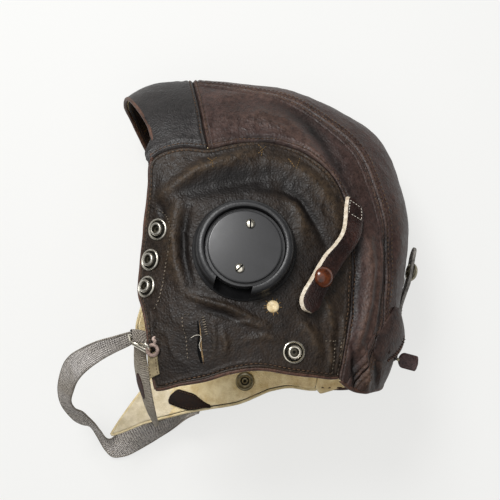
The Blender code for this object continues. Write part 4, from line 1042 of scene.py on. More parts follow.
# Stitches of the patch under the mask studs, the pocket, the lower corner and the darts of the left panel
PATCH_PIXELS = [(150, 207), (158, 210), (168, 218), (172.5, 230), (171, 246), (166, 266), (162.5, 287),
                (158, 303), (153, 312)]
POCKET_PIXELS = [[(182.5, 317), (183, 326), (186, 338), (187, 350), (188, 361)],
                 [(184, 315), (188, 314.3), (193, 315)]]
DART_PIXELS = [[(207.5, 158), (212, 163), (213, 169)], [(217, 158), (212, 163), (208, 168)],
               [(258, 145), (262, 150), (261, 157)], [(266, 147), (262, 150), (258, 154)],
               [(288, 159), (292, 165), (295, 170)], [(300, 158), (298, 164), (296, 170)]]
CORNER_PIXELS = [[(335, 340), (333, 360), (330.5, 375)], [(340.5, 342), (339, 360), (337, 376)],
                 [(325, 341), (330, 341), (336, 341.5)]]
patch_rows = [picture_row(PATCH_PIXELS, 60)] + [picture_row(p, 24) for p in POCKET_PIXELS + CORNER_PIXELS]
stitches("patch_stitches", patch_rows, PATCH_THREAD, 1.5, 1.3, 0.5, 0.5)
stitches("dart_stitches", [picture_row(p, 12) for p in DART_PIXELS], GOLD_THREAD, 1.8, 0.5, 0.32, 0.2)

# Pocket slit, a black rod of painted shade, with its frayed lip, its oversewn edge and a loose thread
SLIT_PIXELS = [(197.5, 321), (199.3, 335), (199, 350), (201.5, 363)]
FRAY_PIXELS = [(199.5, 320), (200.8, 335), (201.5, 349), (204, 364)]
WHIP_LEFT = [(201.5, 318), (203.5, 328), (205.5, 338), (206, 350), (207, 361)]
WHIP_RIGHT = [(206, 316.5), (207.5, 328), (209, 338), (209, 350), (210, 361)]
THREAD_PIXELS = [(191, 338), (195.5, 335.5), (200, 335.5), (201.5, 339), (199.5, 345), (201, 351)]
share = np.linspace(0, 1, 60)
ends = np.sin(np.linspace(0.12, math.pi - 0.12, 60)) ** 0.5
run, facing = land(*picture_row(SLIT_PIXELS, 60), 0.25 * MM)
rod("pocket_slit", run, (0.8 + 0.7 * share) * MM * ends, facing, SHADE_BLACK, 8, 0.35)
run, facing = land(*picture_row(FRAY_PIXELS, 60), 0.35 * MM)
ragged = 1 + 0.5 * rough(run, 2.2 * MM, 77) + 0.3 * rough(run, 1.1 * MM, 78)
rod("pocket_welt", run, (0.3 + 0.6 * share) * MM * ends * ragged, facing, FRAYED_HIDE, 8, 0.55)
whip = [picture_row([start, (start + end) / 2, end], 6)
        for start, end in zip(smooth_run(WHIP_LEFT, 19), smooth_run(WHIP_RIGHT, 19))]
stitches("pocket_whip_stitches", whip, PATCH_THREAD, 2.5, 0.1, 0.42, 0.5)
run, facing = land(*picture_row(THREAD_PIXELS, 50), 1.3 * MM)
rod("loose_thread", run, 0.22 * MM, facing, PALE_THREAD, 6)


# Rolled bindings on the free edges
def binding(name, run, normals, material, radius, depth, slot="ear_leather"):
    radius = radius * MM * (1 + 0.06 * rough(run, 7 * MM, 5))
    rod(name, run - normals * depth * MM, radius, normals, material)


def edge_run(table, side, start, end):
    angles = np.linspace(start, end, 200)
    return dressed(angles, side * follow(table, angles))


def hem_run(edge, reach, count):
    levels = np.linspace(-reach, reach, count)
    return dressed(edge(levels), levels)


binding("brow_binding", *hem_run(brow_edge, 0.632, 160), EDGING, 1.7, 1.4, "brow_leather")
binding("nape_binding", *hem_run(nape_edge, 0.5, 120), EDGING, 1.7, 1.4, "crown_leather")
for word, side, front, neck, radius, hide in (("left", 1, FRONT_EDGE, NECK_EDGE, 1.5, EDGING),
                                              ("right", -1, FRONT_EDGE_RIGHT, NECK_EDGE_RIGHT, 1.2, CHAMOIS_EDGE)):
    binding("face_binding_" + word, *edge_run(front, side, *PANEL_CORNERS[1:3]), hide, radius, 1.4)
    binding("neck_binding_" + word, *edge_run(neck, side, *PANEL_CORNERS[2:]), hide, radius, 1.5)


# Receivers: a notched rubber ring round a moulded case, with two slotted terminal screws
def mms(*pairs):
    return [(r * MM, z * MM) for r, z in pairs]


def moved(x, y, z):
    return Matrix.Translation((x, y, z))


def spun(degrees, axis="Z"):
    return Matrix.Rotation(math.radians(degrees), 4, axis)


HOUSING = mms((29, -8.5), (29, 9.5), (28.9, 11.3), (29.2, 12.1), (29.9, 12.5), (31.2, 12.5), (32.6, 12.15),
              (33.7, 11.3), (34.5, 9.9), (35, 8), (35.1, 5.6), (35.3, 3.6), (36.2, 2.0), (37.2, 0.9), (37.4, 0.1),
              (36.8, -0.4), (33.6, -0.8), (33.6, -8.5), (29, -8.5))
CASE = mms((0, 10.5), (25.0, 10.5), (25.9, 10.35), (26.3, 9.9), (26.3, 8.0), (26.5, 7.7), (28.4, 7.6), (28.7, 7.2),
           (28.7, 1.0), (26.9, 1.0), (26.9, 6.2), (0, 8.6))
SCREW = mms((0, 1.75), (1.3, 1.65), (2.4, 1.35), (3.1, 0.9), (3.4, 0.35), (3.4, 0.0), (0, 0))
PAD = mms((24.5, -10.5), (26, -9.6), (32, -9.0), (38, -9.1), (42.5, -10.2), (45.2, -12.2), (45.4, -14), (43, -15.2),
          (38, -15.7), (31, -15.6), (26.5, -15.1), (24.3, -13.6), (24.0, -12), (24.5, -10.5))
NOTCH_ANGLE, NOTCH_SIZE, NOTCH_PLACE = 254, (0.022, 0.0265, 0.025), (0.0362, 0, 0.0138)
SCREW_LINE, SCREW_OFFSET, SCREW_SEAT = math.radians(77), 16.6 * MM, 10.8 * MM
SLOT_SIZE, SLOT_HEIGHT = (0.009, 0.0011, 0.0024), 1.7 * MM
for word, side in SIDES:
    ear = basis(shell(90.0, float(side)), (1, 0, 0), EAR_AXIS if side > 0 else (0, 0, -1))
    ring = turned("receiver_rubber_" + word, HOUSING, ear, RUBBER, ["receiver_housing_" + word],
                  sides=144)
    # The faces of the notch and of the screw slots are painted black as the shade inside them
    cut_with(ring, NOTCH_SIZE, ear @ spun(NOTCH_ANGLE * side) @ moved(*NOTCH_PLACE), 1.0 * MM, SHADE_BLACK)
    turned("receiver_cover_" + word, CASE, ear, BAKELITE, ["receiver_case_" + word], sides=128)
    for rank, end, slant in (("upper", 1, 90), ("lower", -1, 45)):
        line = SCREW_LINE * side
        spot = ear @ moved(SCREW_OFFSET * end * math.cos(line), SCREW_OFFSET * end * math.sin(line), SCREW_SEAT)
        screw = turned("terminal_screw_head_" + rank + "_" + word, SCREW, spot @ spun(slant), BRIGHT_NICKEL,
                       ["terminal_screw_" + rank + "_" + word], sides=40)
        cut_with(screw, SLOT_SIZE, spot @ spun(slant) @ moved(0, 0, SLOT_HEIGHT), 0, SHADE_BLACK)
    pad = turned("ear_pad_chamois_" + word, PAD, ear, PALE_CHAMOIS, ["ear_pad_" + word], sides=96)

# Press studs: a bright flange ring, a groove painted dark as shade, and a bright barrel with painted shade inside
# it
STUD = mms((0, 1.0), (1.0, 1.0), (1.2, 1.5), (2.6, 1.4), (2.9, 3.4), (3.2, 4.0), (3.7, 4.2), (4.4, 4.0),
           (4.85, 3.4), (4.95, 2.4), (4.8, 1.2), (5.2, 0.8), (6.1, 0.8), (6.5, 1.3), (7.1, 1.8), (7.7, 1.65),
           (8.1, 1.1), (8.2, 0.5), (8.0, 0.15), (0, 0.15))
STUD_BACK = mms((0, 1.0), (1.4, 1.1), (1.6, 1.8), (2.4, 1.9), (2.8, 1.2), (3.5, 1.1), (4.0, 1.7), (5.2, 1.6),
                (5.6, 1.2), (6.3, 1.3), (6.8, 1.8), (7.5, 1.7), (8.1, 0.9), (8.2, 0.3), (7.9, 0), (0, 0))
MASK_STUDS = [(164.4, 0.592), (183.7, 0.519), (199.2, 0.505)]
LEAD_STUDS = {"left": (295.8, 0.724), "right": (278.6, 0.745)}
BACK_DEPTH = 3.6 * MM


def stud_shade(reach, height):
    """0 bright, 1 painted shade in the groove and the hole, 2 lighter painted shade inside the barrel."""
    if 4.75 * MM < reach < 6.35 * MM and height < 1.3 * MM or reach < 1.1 * MM:
        return 1
    return 2 if reach < 2.95 * MM else 0


def back_shade(reach, _):
    """0 plate, 1 painted shade in the rivet hole and the groove."""
    return int(reach < 1.4 * MM or 2.7 * MM < reach < 3.6 * MM)


for word, side in SIDES:
    for number, (angle, level) in enumerate(MASK_STUDS, start=1):
        turned("mask_stud_cap_" + word + "_" + str(number), STUD, seat(angle, side * level),
               [NICKEL, GROOVE_SHADE_METAL, BARREL_SHADE_NICKEL], ["mask_stud_" + word + "_" + str(number)],
               shades=stud_shade)
    angle, level = LEAD_STUDS[word]
    turned("lead_stud_cap_" + word, STUD, seat(angle, side * level), [BRIGHT_NICKEL, GROOVE_SHADE_METAL, BARREL_SHADE_NICKEL],
           ["lead_stud_" + word], shades=stud_shade)
    turned("lead_stud_back_cap_" + word, STUD_BACK, on_shell(angle, side * level) @ moved(0, 0, -BACK_DEPTH)
           @ spun(180, "X"), [DULL_NICKEL, GROOVE_SHADE_METAL], ["lead_stud_back_" + word],
           shades=back_shade)

# Eyelet for the receiver lead, with its rays of thread
EYELET = mms((0, 0.9), (0.5, 0.95), (1.0, 1.3), (2.2, 1.5), (3.4, 1.3), (4.1, 0.8), (4.4, 0.3), (0, 0.3))
RAY_COUNT, RAY_INNER, RAY_OUTER, RAY_UNEVEN = 22, 4.3, 6.6, 1.2
eyelet = on_shell(296.4, 0.863)
turned("lead_eyelet_washer", EYELET, eyelet, CREAM_DISC, ["lead_eyelet_left"])
rays = []
for k in range(RAY_COUNT):
    turn = 2 * math.pi * k / RAY_COUNT
    out = eyelet.to_3x3() @ Vector((math.cos(turn), math.sin(turn), 0))
    far = (RAY_OUTER + RAY_UNEVEN * math.sin(k * 2.4)) * MM
    ray = [np.array(eyelet.translation + out * RAY_INNER * MM), np.array(eyelet.translation + out * far)]
    rays.append((np.array(ray), np.array([eyelet.to_3x3().col[2]] * 2)))
stitches("eyelet_stitches", rays, GOLD_THREAD, 2.4, 0.05, 0.34, 0.35)


# Straps: each is a run between two edges
class Strap:
    """Run of a strap: its middle line, its directions and its half widths."""
    def __init__(self, edges, count, facing=UP):
        left, right = (smooth_run(edge, count) for edge in edges)
        self.centres = (left + right) / 2
        self.sideways = unit(right - left)
        self.half = np.linalg.norm(right - left, axis=1) / 2
        self.normals = unit(np.cross(self.sideways, tangents(self.centres)))
        if np.sum(self.normals @ np.asarray(facing, float)) < 0:
            self.normals = -self.normals
        self.count = count

    def lowered(self, depth):
        self.centres = self.centres - self.normals * depth * MM
        return self

    def rounded(self, start, end):
        """Narrows the ends into half rounds, by shares of the length."""
        share = np.linspace(0, 1, self.count)
        for reach, into in ((end, share - 1 + end), (start, start - share)):
            if reach:
                t = np.clip(into / reach, 0, 1)
                self.half = self.half * np.sqrt(np.maximum(1 - 0.93 * t * t, 0.02))
        return self

    def at(self, along, side, lift):
        """Points at shares along the strap and across it, some millimetres up, and their normals."""
        spot = np.asarray(along, float) * (self.count - 1)
        index = np.arange(self.count)

        def read(values):
            return np.stack([np.interp(spot, index, values[:, k]) for k in range(3)], -1)
        half = np.interp(spot, index, self.half)
        facing = unit(read(self.normals))
        side = np.broadcast_to(side, spot.shape)
        middle = read(self.centres) + read(self.sideways) * (side * half)[..., None]
        return middle + facing * (lift * MM), facing


def strap_piece(name, strap, thickness, crown, material, nodes=(), body="shell", wear=None):
    """Strap of even thickness with a crowned face."""
    section = flat_section(strap.half * 2, thickness, crown * MM)
    item = sweep(name, strap.centres, strap.sideways, strap.normals, section)
    if wear is not None:
        mark(item, "wear", wear)
    return done(item, material, nodes, body)


def frames_on(places, side, lift):
    return [on_shell(angle, side * level, lift) for angle, level in places]


def frame_edges(frames, width):
    """The two edges of a strap that follows a run of frames."""
    halves = [np.array(f.to_3x3().col[1]) * width * MM / 2 for f in frames]
    centres = [np.array(f.translation) for f in frames]
    return [c - h for c, h in zip(centres, halves)], [c + h for c, h in zip(centres, halves)]


# Goggle tabs; the left one by its edges in the picture and their lifts above the leather in millimetres
TAB_LEFT_PIXELS = [(347.5, 193.5), (345.8, 205), (345, 219), (342.3, 232), (335, 243.5), (326, 253.5), (318.5, 265),
                   (311, 278.5), (304, 290), (300.6, 300), (303, 309), (309, 313.3)]
TAB_RIGHT_PIXELS = [(362.5, 205.5), (364, 215), (363.3, 226), (361, 237), (354.5, 248.5), (347, 258.5),
                    (340, 269.5), (333, 281), (327.5, 291.5), (323, 301.5), (320, 308.5), (315.5, 312.6)]
TAB_LIFTS = [(2.9, 2.9), (3.0, 2.9), (4.4, 3.2), (7.6, 5.4), (9.4, 6.6), (10.0, 7.2), (10.2, 7.4), (10.2, 7.4),
             (9.8, 7.2), (9.2, 7.0), (8.4, 6.8), (7.8, 6.8)]
# The others by angle, level and how far they stand off, as a share of 5 mm
TAB_SHARES = [(28.5, 0.612, 0.14), (24, 0.624, 0.14), (19.4, 0.637, 0.18), (15.2, 0.65, 0.45), (10, 0.663, 0.75),
              (4.2, 0.689, 0.95), (-2.6, 0.718, 1.0), (-18.6, 0.748, 1.0), (-27, 0.766, 0.95), (-36.7, 0.779, 0.85),
              (-43, 0.779, 0.8)]
REAR_SHARES = [(-16, 0, 0.14), (-13.5, 0, 0.14), (-11.3, 0, 0.22), (-7.5, 0, 0.5), (-3, 0, 0.85), (2, 0, 1.0),
               (6, 0, 1.1), (9.5, 0, 1.3)]
STAND_OFF, TAB_THICKNESS, TAB_WIDTH = 5, 2.4 * MM, 14.4
TAB_BOX = [(0.035, -0.62), (0.035, 0.72), (0.135, 0.72), (0.135, -0.62), (0.035, -0.62)]
TAB_PAINT = [1, 1, 1, 0, 0, 0, 0, 0, 1, 1, 2, 2]
DOME = mms((0, 4.2), (1.8, 4.1), (3.6, 3.7), (5.2, 2.9), (6.4, 1.9), (7.1, 1.0), (7.4, 0.4), (7.4, 0), (0, 0))
SOCKET = mms((0, 1.8), (2.2, 1.8), (2.6, 1.2), (3.6, 1.2), (4.2, 1.7), (4.8, 1.5), (5.0, 0.9), (5.0, 0), (0, 0))
RIM = mms((3.4, 0.0), (3.5, -1.0), (4.6, -1.5), (5.6, -1.2), (6.0, -0.4), (5.9, 0.0), (3.4, 0.0))


def tab_section(half, cut):
    """A pale cut edge slopes up to the face on the left side; zero is the face."""
    half = half[:, None]
    crown, under = 0.25 * MM, -TAB_THICKNESS
    rows = [(-1, 0.3 * MM, under), (-1, 0.0, 0.35 * MM + under), (-1, cut * 0.7, -0.5 * MM), (-1, cut, 0.0),
            (-0.5, 0, crown), (0, 0, crown * 1.4), (0.5, 0, crown), (1, 0.9 * MM, 0.0), (1, 0.2 * MM, -0.5 * MM),
            (1, 0.0, 0.6 * MM + under), (1, 0.4 * MM, under), (0, 0, under)]
    return np.stack([np.concatenate([side * half - np.sign(side) * np.minimum(inset, half * 0.8),
                                     np.full_like(half, up)], 1) for side, inset, up in rows], 1)


def tab_frames(shares, side, roll):
    """Frames along a tab on the plain shell; it leans as it stands off."""
    places = [on_shell(a, side * l, f * STAND_OFF * MM + TAB_THICKNESS) for a, l, f in shares]
    made = []
    for i, here in enumerate(places):
        ahead = (places[min(i + 1, len(places) - 1)].translation - places[max(i - 1, 0)].translation).normalized()
        lean = math.radians(roll) * float(fade(shares[i][2], 0.14, 0.9))
        made.append(basis(here.translation, ahead, Matrix.Rotation(side * lean, 3, ahead) @ here.to_3x3().col[2]))
    return made


def goggle_tab(word, strap, hides, cut, dome_share, dome_finish, socket_place, thread):
    """Tab that bends over its sewn end, with its dome, rim, box stitching and the socket under it."""
    body = "goggle_tab_" + word
    item = sweep("goggle_tab_leather_" + word, strap.centres, strap.sideways, strap.normals,
                 tab_section(strap.half, cut * MM), TAB_PAINT)
    mark(item, "wear", np.clip(0.35 + 0.8 * rough(corners(item), 16 * MM, 40), 0, 1))
    done(item, hides, ["goggle_tab_sewn_" + word, body], body=None)
    smooth_under(item, 50)
    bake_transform(item)
    (place, further), facing = strap.at([dome_share, dome_share + 0.02], 0.0, 0.6)
    spot = basis(place, further - place, facing[0])
    turned("goggle_tab_dome_" + word, DOME, spot, dome_finish, ["goggle_tab_cap_" + word], body)
    turned("goggle_tab_rim_" + word, RIM, spot @ moved(0, 0, -3.0 * MM), DULL_NICKEL, [], body, 32)
    turned("goggle_socket_" + word, SOCKET, on_shell(*socket_place, 0.3 * MM), NICKEL,
           ["goggle_stud_" + word], sides=32)
    share = np.linspace(0, 1, 12)
    rows = [strap.at(a0 + (a1 - a0) * share, s0 + (s1 - s0) * share, 0.38)
            for (a0, s0), (a1, s1) in zip(TAB_BOX, TAB_BOX[1:])]
    stitches("goggle_tab_stitches_" + word, rows, thread, 1.7, 0.7, 0.28)


left_edges = ([lifted(x, y, low * MM) for (x, y), (low, _) in zip(TAB_LEFT_PIXELS, TAB_LIFTS)],
              [lifted(x, y, high * MM) for (x, y), (_, high) in zip(TAB_RIGHT_PIXELS, TAB_LIFTS)])
right_edges = frame_edges(tab_frames(TAB_SHARES, -1, 20), TAB_WIDTH)
rear_edges = frame_edges(tab_frames(REAR_SHARES, 1, 0), TAB_WIDTH)
SIDE_HIDES, REAR_HIDES = [TAB_LEATHER, CUT_EDGE, FAR_TAB], [GREY_STRAP] * 3
goggle_tab("left", Strap(left_edges, 90).rounded(0.02, 0.05), SIDE_HIDES, 2.1, 0.70, CAP,
           (-18.6, 0.748), PALE_THREAD)
goggle_tab("right", Strap(right_edges, 80, (0, 0, -1)).rounded(0.0, 0.06), SIDE_HIDES, 1.2, 0.70, CAP,
           (-18.6, -0.748), SEAM_THREAD)
goggle_tab("rear", Strap(rear_edges, 60, (1, 0, 0)).rounded(0.0, 0.12), REAR_HIDES, 0.9, 0.66, DULL_NICKEL,
           (-3, 0.0), PALE_THREAD)

# Buckle of the chin strap: bent wire frame and roller
ROLLER_MIDDLE = PIVOTS["buckle_roller_spin"]
BAR_LINE = unit(np.array([0.86, -0.43, 0.30]))
DROP = np.array([-0.09, -0.50, -0.86])
DROP = unit(DROP - BAR_LINE * (DROP @ BAR_LINE))
FRAME_LENGTH, FRAME_HALF, FRAME_CORNER = 9.5 * MM, 8.5 * MM, 2.2 * MM
BAR_MIDDLE = ROLLER_MIDDLE - DROP * FRAME_LENGTH
FACE = unit(np.cross(DROP, BAR_LINE))
FACE = FACE if FACE[2] > 0 else -FACE
BARREL = mms((1.3, 6), (2.05, 6), (2.3, 5.7), (2.25, 5.2), (2.25, -5.2), (2.3, -5.7), (2.05, -6), (1.3, -6),
             (1.3, 6))
wire_run = []
for end, down, first in ((-1, FRAME_CORNER, 180), (1, FRAME_CORNER, 270), (1, FRAME_LENGTH - FRAME_CORNER, 0),
                         (-1, FRAME_LENGTH - FRAME_CORNER, 90)):
    middle = BAR_MIDDLE + BAR_LINE * end * (FRAME_HALF - FRAME_CORNER) + DROP * down
    for turn in np.radians([first + 90 * k / 5 for k in range(6)]):
        wire_run.append(middle + FRAME_CORNER * (BAR_LINE * math.cos(turn) + DROP * math.sin(turn)))
rod("buckle_wire", np.array(wire_run), 1.0 * MM, FACE, BRIGHT_NICKEL, 12, cyclic=True,
    nodes=["chin_buckle_frame"])
turned("buckle_barrel", BARREL, basis(ROLLER_MIDDLE, DROP, BAR_LINE), BRIGHT_NICKEL,
       ["chin_buckle_roller"], "buckle_roller", 32)

# Chin webbing by its two edges, as picture places and heights in millimetres, from the buckle to the far cheek
WEB_SEEN = [((134.5, 331, 162.5), (134.2, 338, 161)), ((128.5, 333, 158), (131, 344.5, 151.5)),
            ((111, 338, 152), (116, 352, 144)), ((96, 342, 143), (101, 360, 136)),
            ((82, 348, 126), (87, 370, 124)), ((69, 356, 106), (77, 381, 104)),
            ((61.5, 368, 84), (72.5, 392, 82)), ((57.5, 388, 62), (70.5, 402, 64)),
            ((61, 405, 44), (75, 409.5, 52)), ((72, 419, 30), (82.5, 412.5, 42)),
            ((81, 424.5, 22), (88, 417.5, 36)), ((90, 427, 14), (94.5, 424, 29)),
            ((97, 437, 9), (100, 431.5, 23)), ((104, 448.5, 6), (106, 439, 16)),
            ((112, 457, 4.5), (112, 439, 10)), ((122, 457, 3.8), (119, 432.5, 6)),
            ((131, 454, 3.6), (129.5, 427, 5)), ((148, 444.5, 3.2), (148, 422.5, 4.3)),
            ((168, 432, 3.4), (166, 418, 5.9))]
WEB_SEWN = ((257, 0.64, 0.72), (261, 0.66, 0.74))
FOLD_SEEN = [((131, 329, 165.5), (132.8, 342.5, 164.5)), ((138.5, 329.5, 168.2), (140, 342.5, 167.6)),
             ((146, 331, 167.6), (147.2, 345, 166.8))]


def seen_edges(pairs):
    """Two edges through picture places with their heights in millimetres."""
    return [[seen_at(x, y, z * MM) for x, y, z in edge] for edge in zip(*pairs)]


web_edges = seen_edges(WEB_SEEN)
for angle, *levels in WEB_SEWN:
    for edge, level in zip(web_edges, levels):
        edge.append(shell(angle, -level) + outwards(angle, -level) * 1.8 * MM)
web = Strap(web_edges, 420).lowered(0.75)
strap_piece("chin_web", web, WEB, 0.15, WEBBING, ["chin_webbing"])
for word, side in (("outer", -0.96), ("inner", 0.96)):
    run, facing = web.at(np.linspace(0.01, 0.99, 380), side, 0.2)
    rod("chin_web_selvedge_" + word, run, 0.75 * MM, facing, SELVEDGE, 8)

# Folded grey end of the web over the bar, with its dark stitches
web_fold = Strap(seen_edges(FOLD_SEEN), 24, FACE)
strap_piece("web_fold", web_fold, 1.3 * MM, 0.2, SELVEDGE)
stitches("web_fold_stitches", [web_fold.at(np.full(8, 0.04), np.linspace(-0.95, 0.8, 8), 0.8)], DARK_THREAD,
         1.3, 0.6, 0.75)

# Free end of the strap below the roller, with a leather patch; its edges are shares of the view's middle field
FIELD, FIELD_MIDDLE = 226 * MM, CAMERA * (1, 1, 0)
TAIL_EDGES = [((-0.371, -0.339, 0.642), (-0.328, -0.339, 0.664)),
              ((-0.373, -0.385, 0.606), (-0.323, -0.397, 0.640)),
              ((-0.368, -0.442, 0.560), (-0.321, -0.450, 0.606)),
              ((-0.351, -0.533, 0.496), (-0.315, -0.531, 0.544)),
              ((-0.328, -0.611, 0.434), (-0.314, -0.598, 0.447))]
TAIL_HALF, PATCH_SIDE, PATCH_HALF = 6 * MM, -0.5, 0.44
tail_top = ROLLER_MIDDLE + DROP * 2.7 * MM - np.array(UP) * 1.2 * MM
tail_edges = [[tail_top + BAR_LINE * end * TAIL_HALF] + [FIELD_MIDDLE + np.array(place) * FIELD for place in edge]
              for end, edge in zip((-1, 1), zip(*TAIL_EDGES))]
tail = Strap(tail_edges, 120)
strap_piece("chin_strap_tongue", tail, WEB, 0.15, TAIL_WEB, ["chin_strap_tail"], "strap_tail")
oval = np.sqrt(np.maximum(1 - np.linspace(-1, 1, 24) ** 2, 0.02))
patch = Strap([tail.at(np.linspace(0.30, 0.60, 24), PATCH_SIDE + oval * side * PATCH_HALF, 0.95)[0]
               for side in (-1, 1)], 24)
patch.half = np.maximum(patch.half, 0.45 * MM)
strap_piece("tail_patch_hide", patch, 0.6 * MM, 0.1, LOOP_PATCH, body="strap_tail")

# Chape that carries the buckle, and the pale leather loop with its knot
CHAPE_PLACES = [(228.7, 0.563), (231.6, 0.552), (235.2, 0.538)]
LOOP_WIDE, LOOP_HIGH, LOOP_TURNS = 3.5, 3.9, 40
chape = Strap(frame_edges(frames_on(CHAPE_PLACES, 1, 2.1 * MM), 8.4), 30).lowered(0.9)
strap_piece("chape_hide", chape, STRAP, 0.2, CREAM, ["chin_chape"])
stitches("chape_stitches", [chape.at(np.linspace(0.3, 0.95, 12), s, 1.2) for s in (-0.7, 0.7)], SEAM_THREAD,
         1.4, 0.8, 0.3)
loop_height = (BAR_MIDDLE + BAR_LINE * FRAME_HALF + DROP * FRAME_LENGTH * 0.9)[2] + 1.2 * MM
loop_middle = seen_at(152.6, 350.2, loop_height)
loop_axis = unit(np.array([0.12, -0.2, 0.97]))
loop_side = unit(np.cross(loop_axis, DROP))
loop_up = np.cross(loop_axis, loop_side)
loop_run = np.array([loop_middle + (loop_side * math.cos(t) * LOOP_WIDE + loop_up * math.sin(t) * LOOP_HIGH) * MM
                     for t in np.linspace(0, 2 * math.pi, LOOP_TURNS, endpoint=False)])
rod("buckle_loop", loop_run, 1.35 * MM, loop_axis, LOOP_LEATHER, 10, 0.8, cyclic=True)
knot_run = smooth_run([seen_at(x, y, loop_height + up * MM) for x, y, up in (
    (153.5, 345, 0.6), (155, 341.5, 1.6), (153.2, 339, 1.8), (155.2, 336.5, 0.6))], 30)
rod("buckle_loop_knot", knot_run, 1.25 * MM * np.sin(np.linspace(0.5, 2.7, 30)), UP, LOOP_LEATHER,
    10, 0.8)

# Cheek tab inside the far flap
CHEEK_PLACES = [(246.6, 0.689), (253.1, 0.694), (259.2, 0.691), (265.2, 0.68)]
cheek = Strap(frame_edges(frames_on(CHEEK_PLACES, -1, -4.3 * MM), 15), 50)
cheek.half = cheek.half * (1 - 0.8 * fade(np.linspace(0, 1, cheek.count), 0.45, 1.0))
cheek.rounded(0.1, 0.03)
strap_piece("cheek_tab_hide", cheek, STRAP, 0.9, FAR_TAB, nodes=["cheek_tab_right"], wear=0.3)
stitches("cheek_tab_stitches", [cheek.at(np.linspace(0.12, 0.86, 30), s, 2.0) for s in (-0.78, 0.78)], SEAM_THREAD,
         1.6, 0.9, 0.3)

# Nape strap
NAPE_SHARES = [(-30, 0.30, 0.16), (-28.5, 0.18, 0.16), (-28, 0.06, 0.16), (-28, -0.06, 0.16)]
nape = Strap(frame_edges(tab_frames(NAPE_SHARES, 1, 0), 13), 60, (1, 0, 0)).lowered(1.8)
strap_piece("nape_strap_hide", nape, STRAP, 0.2, FAR_TAB, nodes=["nape_strap"], wear=0.6)

# Gathered bulge of leather over the nape strap, with its stitched hem
POUCH_SEEN = [((395, 307, 116), (398.5, 309, 107)), ((388, 318, 125), (402, 321, 105)),
              ((381, 329, 130.5), (404, 333, 103)), ((375.5, 340, 136), (403, 343, 104)),
              ((373.5, 351, 136), (397.5, 353, 111)), ((376, 360, 133), (386, 361.5, 122))]
POUCH_BULGE = 2.6 * MM
pouch = Strap(seen_edges(POUCH_SEEN), 80)
swell = np.sin(np.linspace(0.1, math.pi - 0.1, pouch.count))[:, None]
section = flat_section(pouch.half * 2, STRAP, 1.0 * MM)
section[:, :, 1] += POUCH_BULGE * swell * (1 - (section[:, :, 0] / np.maximum(pouch.half[:, None], 1e-6)) ** 2)
item = sweep("nape_gather_hide", pouch.centres, pouch.sideways, pouch.normals, section)
cloud = 0.45 * rough(corners(item), 9 * MM, 15)
mark(item, "wear", np.clip(0.25 + cloud, 0, 1))
# On the nape gather this dark mark is random mottle, opposite to the rubbed cloud, not shade
mark(item, "hollow", np.clip(0.35 - cloud, 0, 1))
done(item, CROWN_LEATHER)
run, facing = pouch.at(np.linspace(0.4, 0.97, 40), 0.8, 1.7)
rod("nape_gather_hem", run, 2.2 * MM * np.sin(np.linspace(0.5, 2.6, 40)), facing, EDGING, 10, 0.5)
stitches("nape_gather_stitches", [pouch.at(np.full(4, share), np.linspace(0.55, 1.0, 4), 2.9)
                                  for share in np.linspace(0.46, 0.94, 11)], DARK_THREAD, 2.6, 0.3, 0.4)

# Bar of the nape strap, and the loose end that turns on it
BAR = mms((0, 7.5), (0.8, 7.5), (1.15, 7.1), (1.2, 6.6), (1.2, -6.6), (1.15, -7.1), (0.8, -7.5), (0, -7.5))
END_ROOT, END_LENGTH, END_HALF, END_TURN, END_TWIST = 1.6, 16, 6.2, 72, 14
bar_spot = on_shell(-29, -0.02, 4.8 * MM)
nape_out, bar_place = np.array(bar_spot.to_3x3().col[2]), np.array(bar_spot.translation)
turned("nape_bar_pin", BAR, basis(bar_place, nape_out, UP), DULL_NICKEL, ["nape_buckle_bar"],
       sides=24)
end_side = unit(np.cross(nape_out, UP))
end_edges = [], []
for share in np.linspace(0, 1, 6):
    middle = bar_place + nape_out * (END_ROOT * MM + share * END_LENGTH * MM)
    turn = math.radians(END_TURN + END_TWIST * math.sin(share * 3.0))
    line = np.array(UP) * math.cos(turn) + end_side * math.sin(turn)
    for edge, sign in zip(end_edges, (-1, 1)):
        edge.append(middle + line * sign * END_HALF * MM)
strap_piece("nape_strap_tip", Strap(end_edges, 50).rounded(0.28, 0.1), STRAP, 0.3, NAPE_STRAP_LEATHER,
            nodes=["nape_strap_end"], body="nape_end", wear=0.35)

# Pieces inside the receivers keep their solids
for word, _ in SIDES:
    for node, material in (("receiver_magnet_", STEEL), ("receiver_coil_", COPPER), ("receiver_diaphragm_", STEEL),
                           ("receiver_ear_cap_", BAKELITE)):
        item = bpy.data.objects[node + word]
        item.data.materials.clear()
        item.data.materials.append(material)


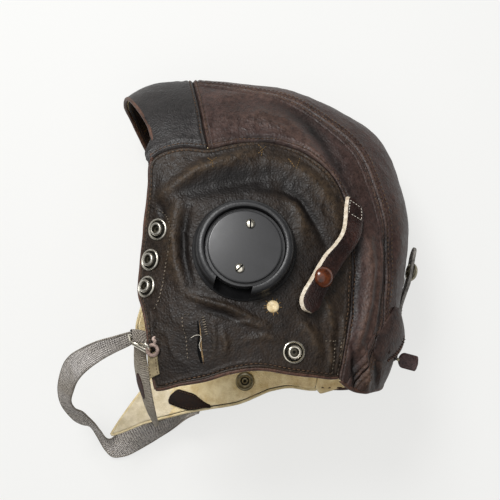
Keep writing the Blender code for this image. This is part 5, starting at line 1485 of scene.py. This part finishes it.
# Floor, light and camera
def white_card():
    """Matt white card, glowing a little to the camera and in reflections, as under a lightbox."""
    material, tree, shader = blank("white card", 0.9, specular=0.1)
    shader.inputs["Base Color"].default_value = linear("#f6f6f4")
    rays = add(tree, "LightPath")
    seen = add(tree, "Math", {0: rays.outputs["Is Camera Ray"], 1: rays.outputs["Is Glossy Ray"]},
               operation="MAXIMUM")
    seen = add(tree, "Math", {0: seen.outputs[0], 1: rays.outputs["Is Transmission Ray"]}, operation="MAXIMUM")
    card = add(tree, "BsdfDiffuse", {"Color": linear("#7e7e7d")})
    glow = add(tree, "Emission", {"Color": linear("#fbfbf9"), "Strength": 0.725})
    shown = add(tree, "AddShader", {0: card.outputs[0], 1: glow.outputs[0]})
    mix = add(tree, "MixShader", {0: seen.outputs[0], 1: shader.outputs[0], 2: shown.outputs[0]})
    tree.links.new(mix.outputs[0], tree.nodes["Material Output"].inputs["Surface"])
    return material


clear_selection()
bpy.ops.mesh.primitive_plane_add(size=6, location=(0, 0, 0))
floor = bpy.context.object
floor.name = "table"
floor.data.materials.append(white_card())

# Softboxes by place, size in metres and power in watts
AIM = Vector((0, 0, 0.05))
SOFTBOXES = {"ceiling softbox": ((-0.08, 0.02, 1.35), 2.2, 10.4), "key softbox": ((-0.38, 0.78, 1.05), 0.5, 14)}
for name, (place, size, power) in SOFTBOXES.items():
    lamp = bpy.data.lights.new(name, "AREA")
    lamp.shape = "DISK"
    lamp.size = size
    lamp.energy = power
    item = bpy.data.objects.new(name, lamp)
    bpy.context.scene.collection.objects.link(item)
    item.location = place
    item.rotation_euler = (AIM - Vector(place)).to_track_quat("-Z", "Y").to_euler()
world = bpy.data.worlds.new("studio")
world.use_nodes = True
bpy.context.scene.world = world
world.node_tree.nodes["Background"].inputs["Color"].default_value = linear("#fdfdff")
world.node_tree.nodes["Background"].inputs["Strength"].default_value = 0.15

camera_data = bpy.data.cameras.new("camera")
camera_data.sensor_width = 36
camera_data.lens = camera_data.sensor_width / 2 * VIEW_DISTANCE / (VIEW_WIDTH / 2)
camera = bpy.data.objects.new("camera", camera_data)
bpy.context.scene.collection.objects.link(camera)
camera.location = CAMERA
bpy.context.scene.camera = camera
bpy.context.scene.view_settings.view_transform = "Standard"
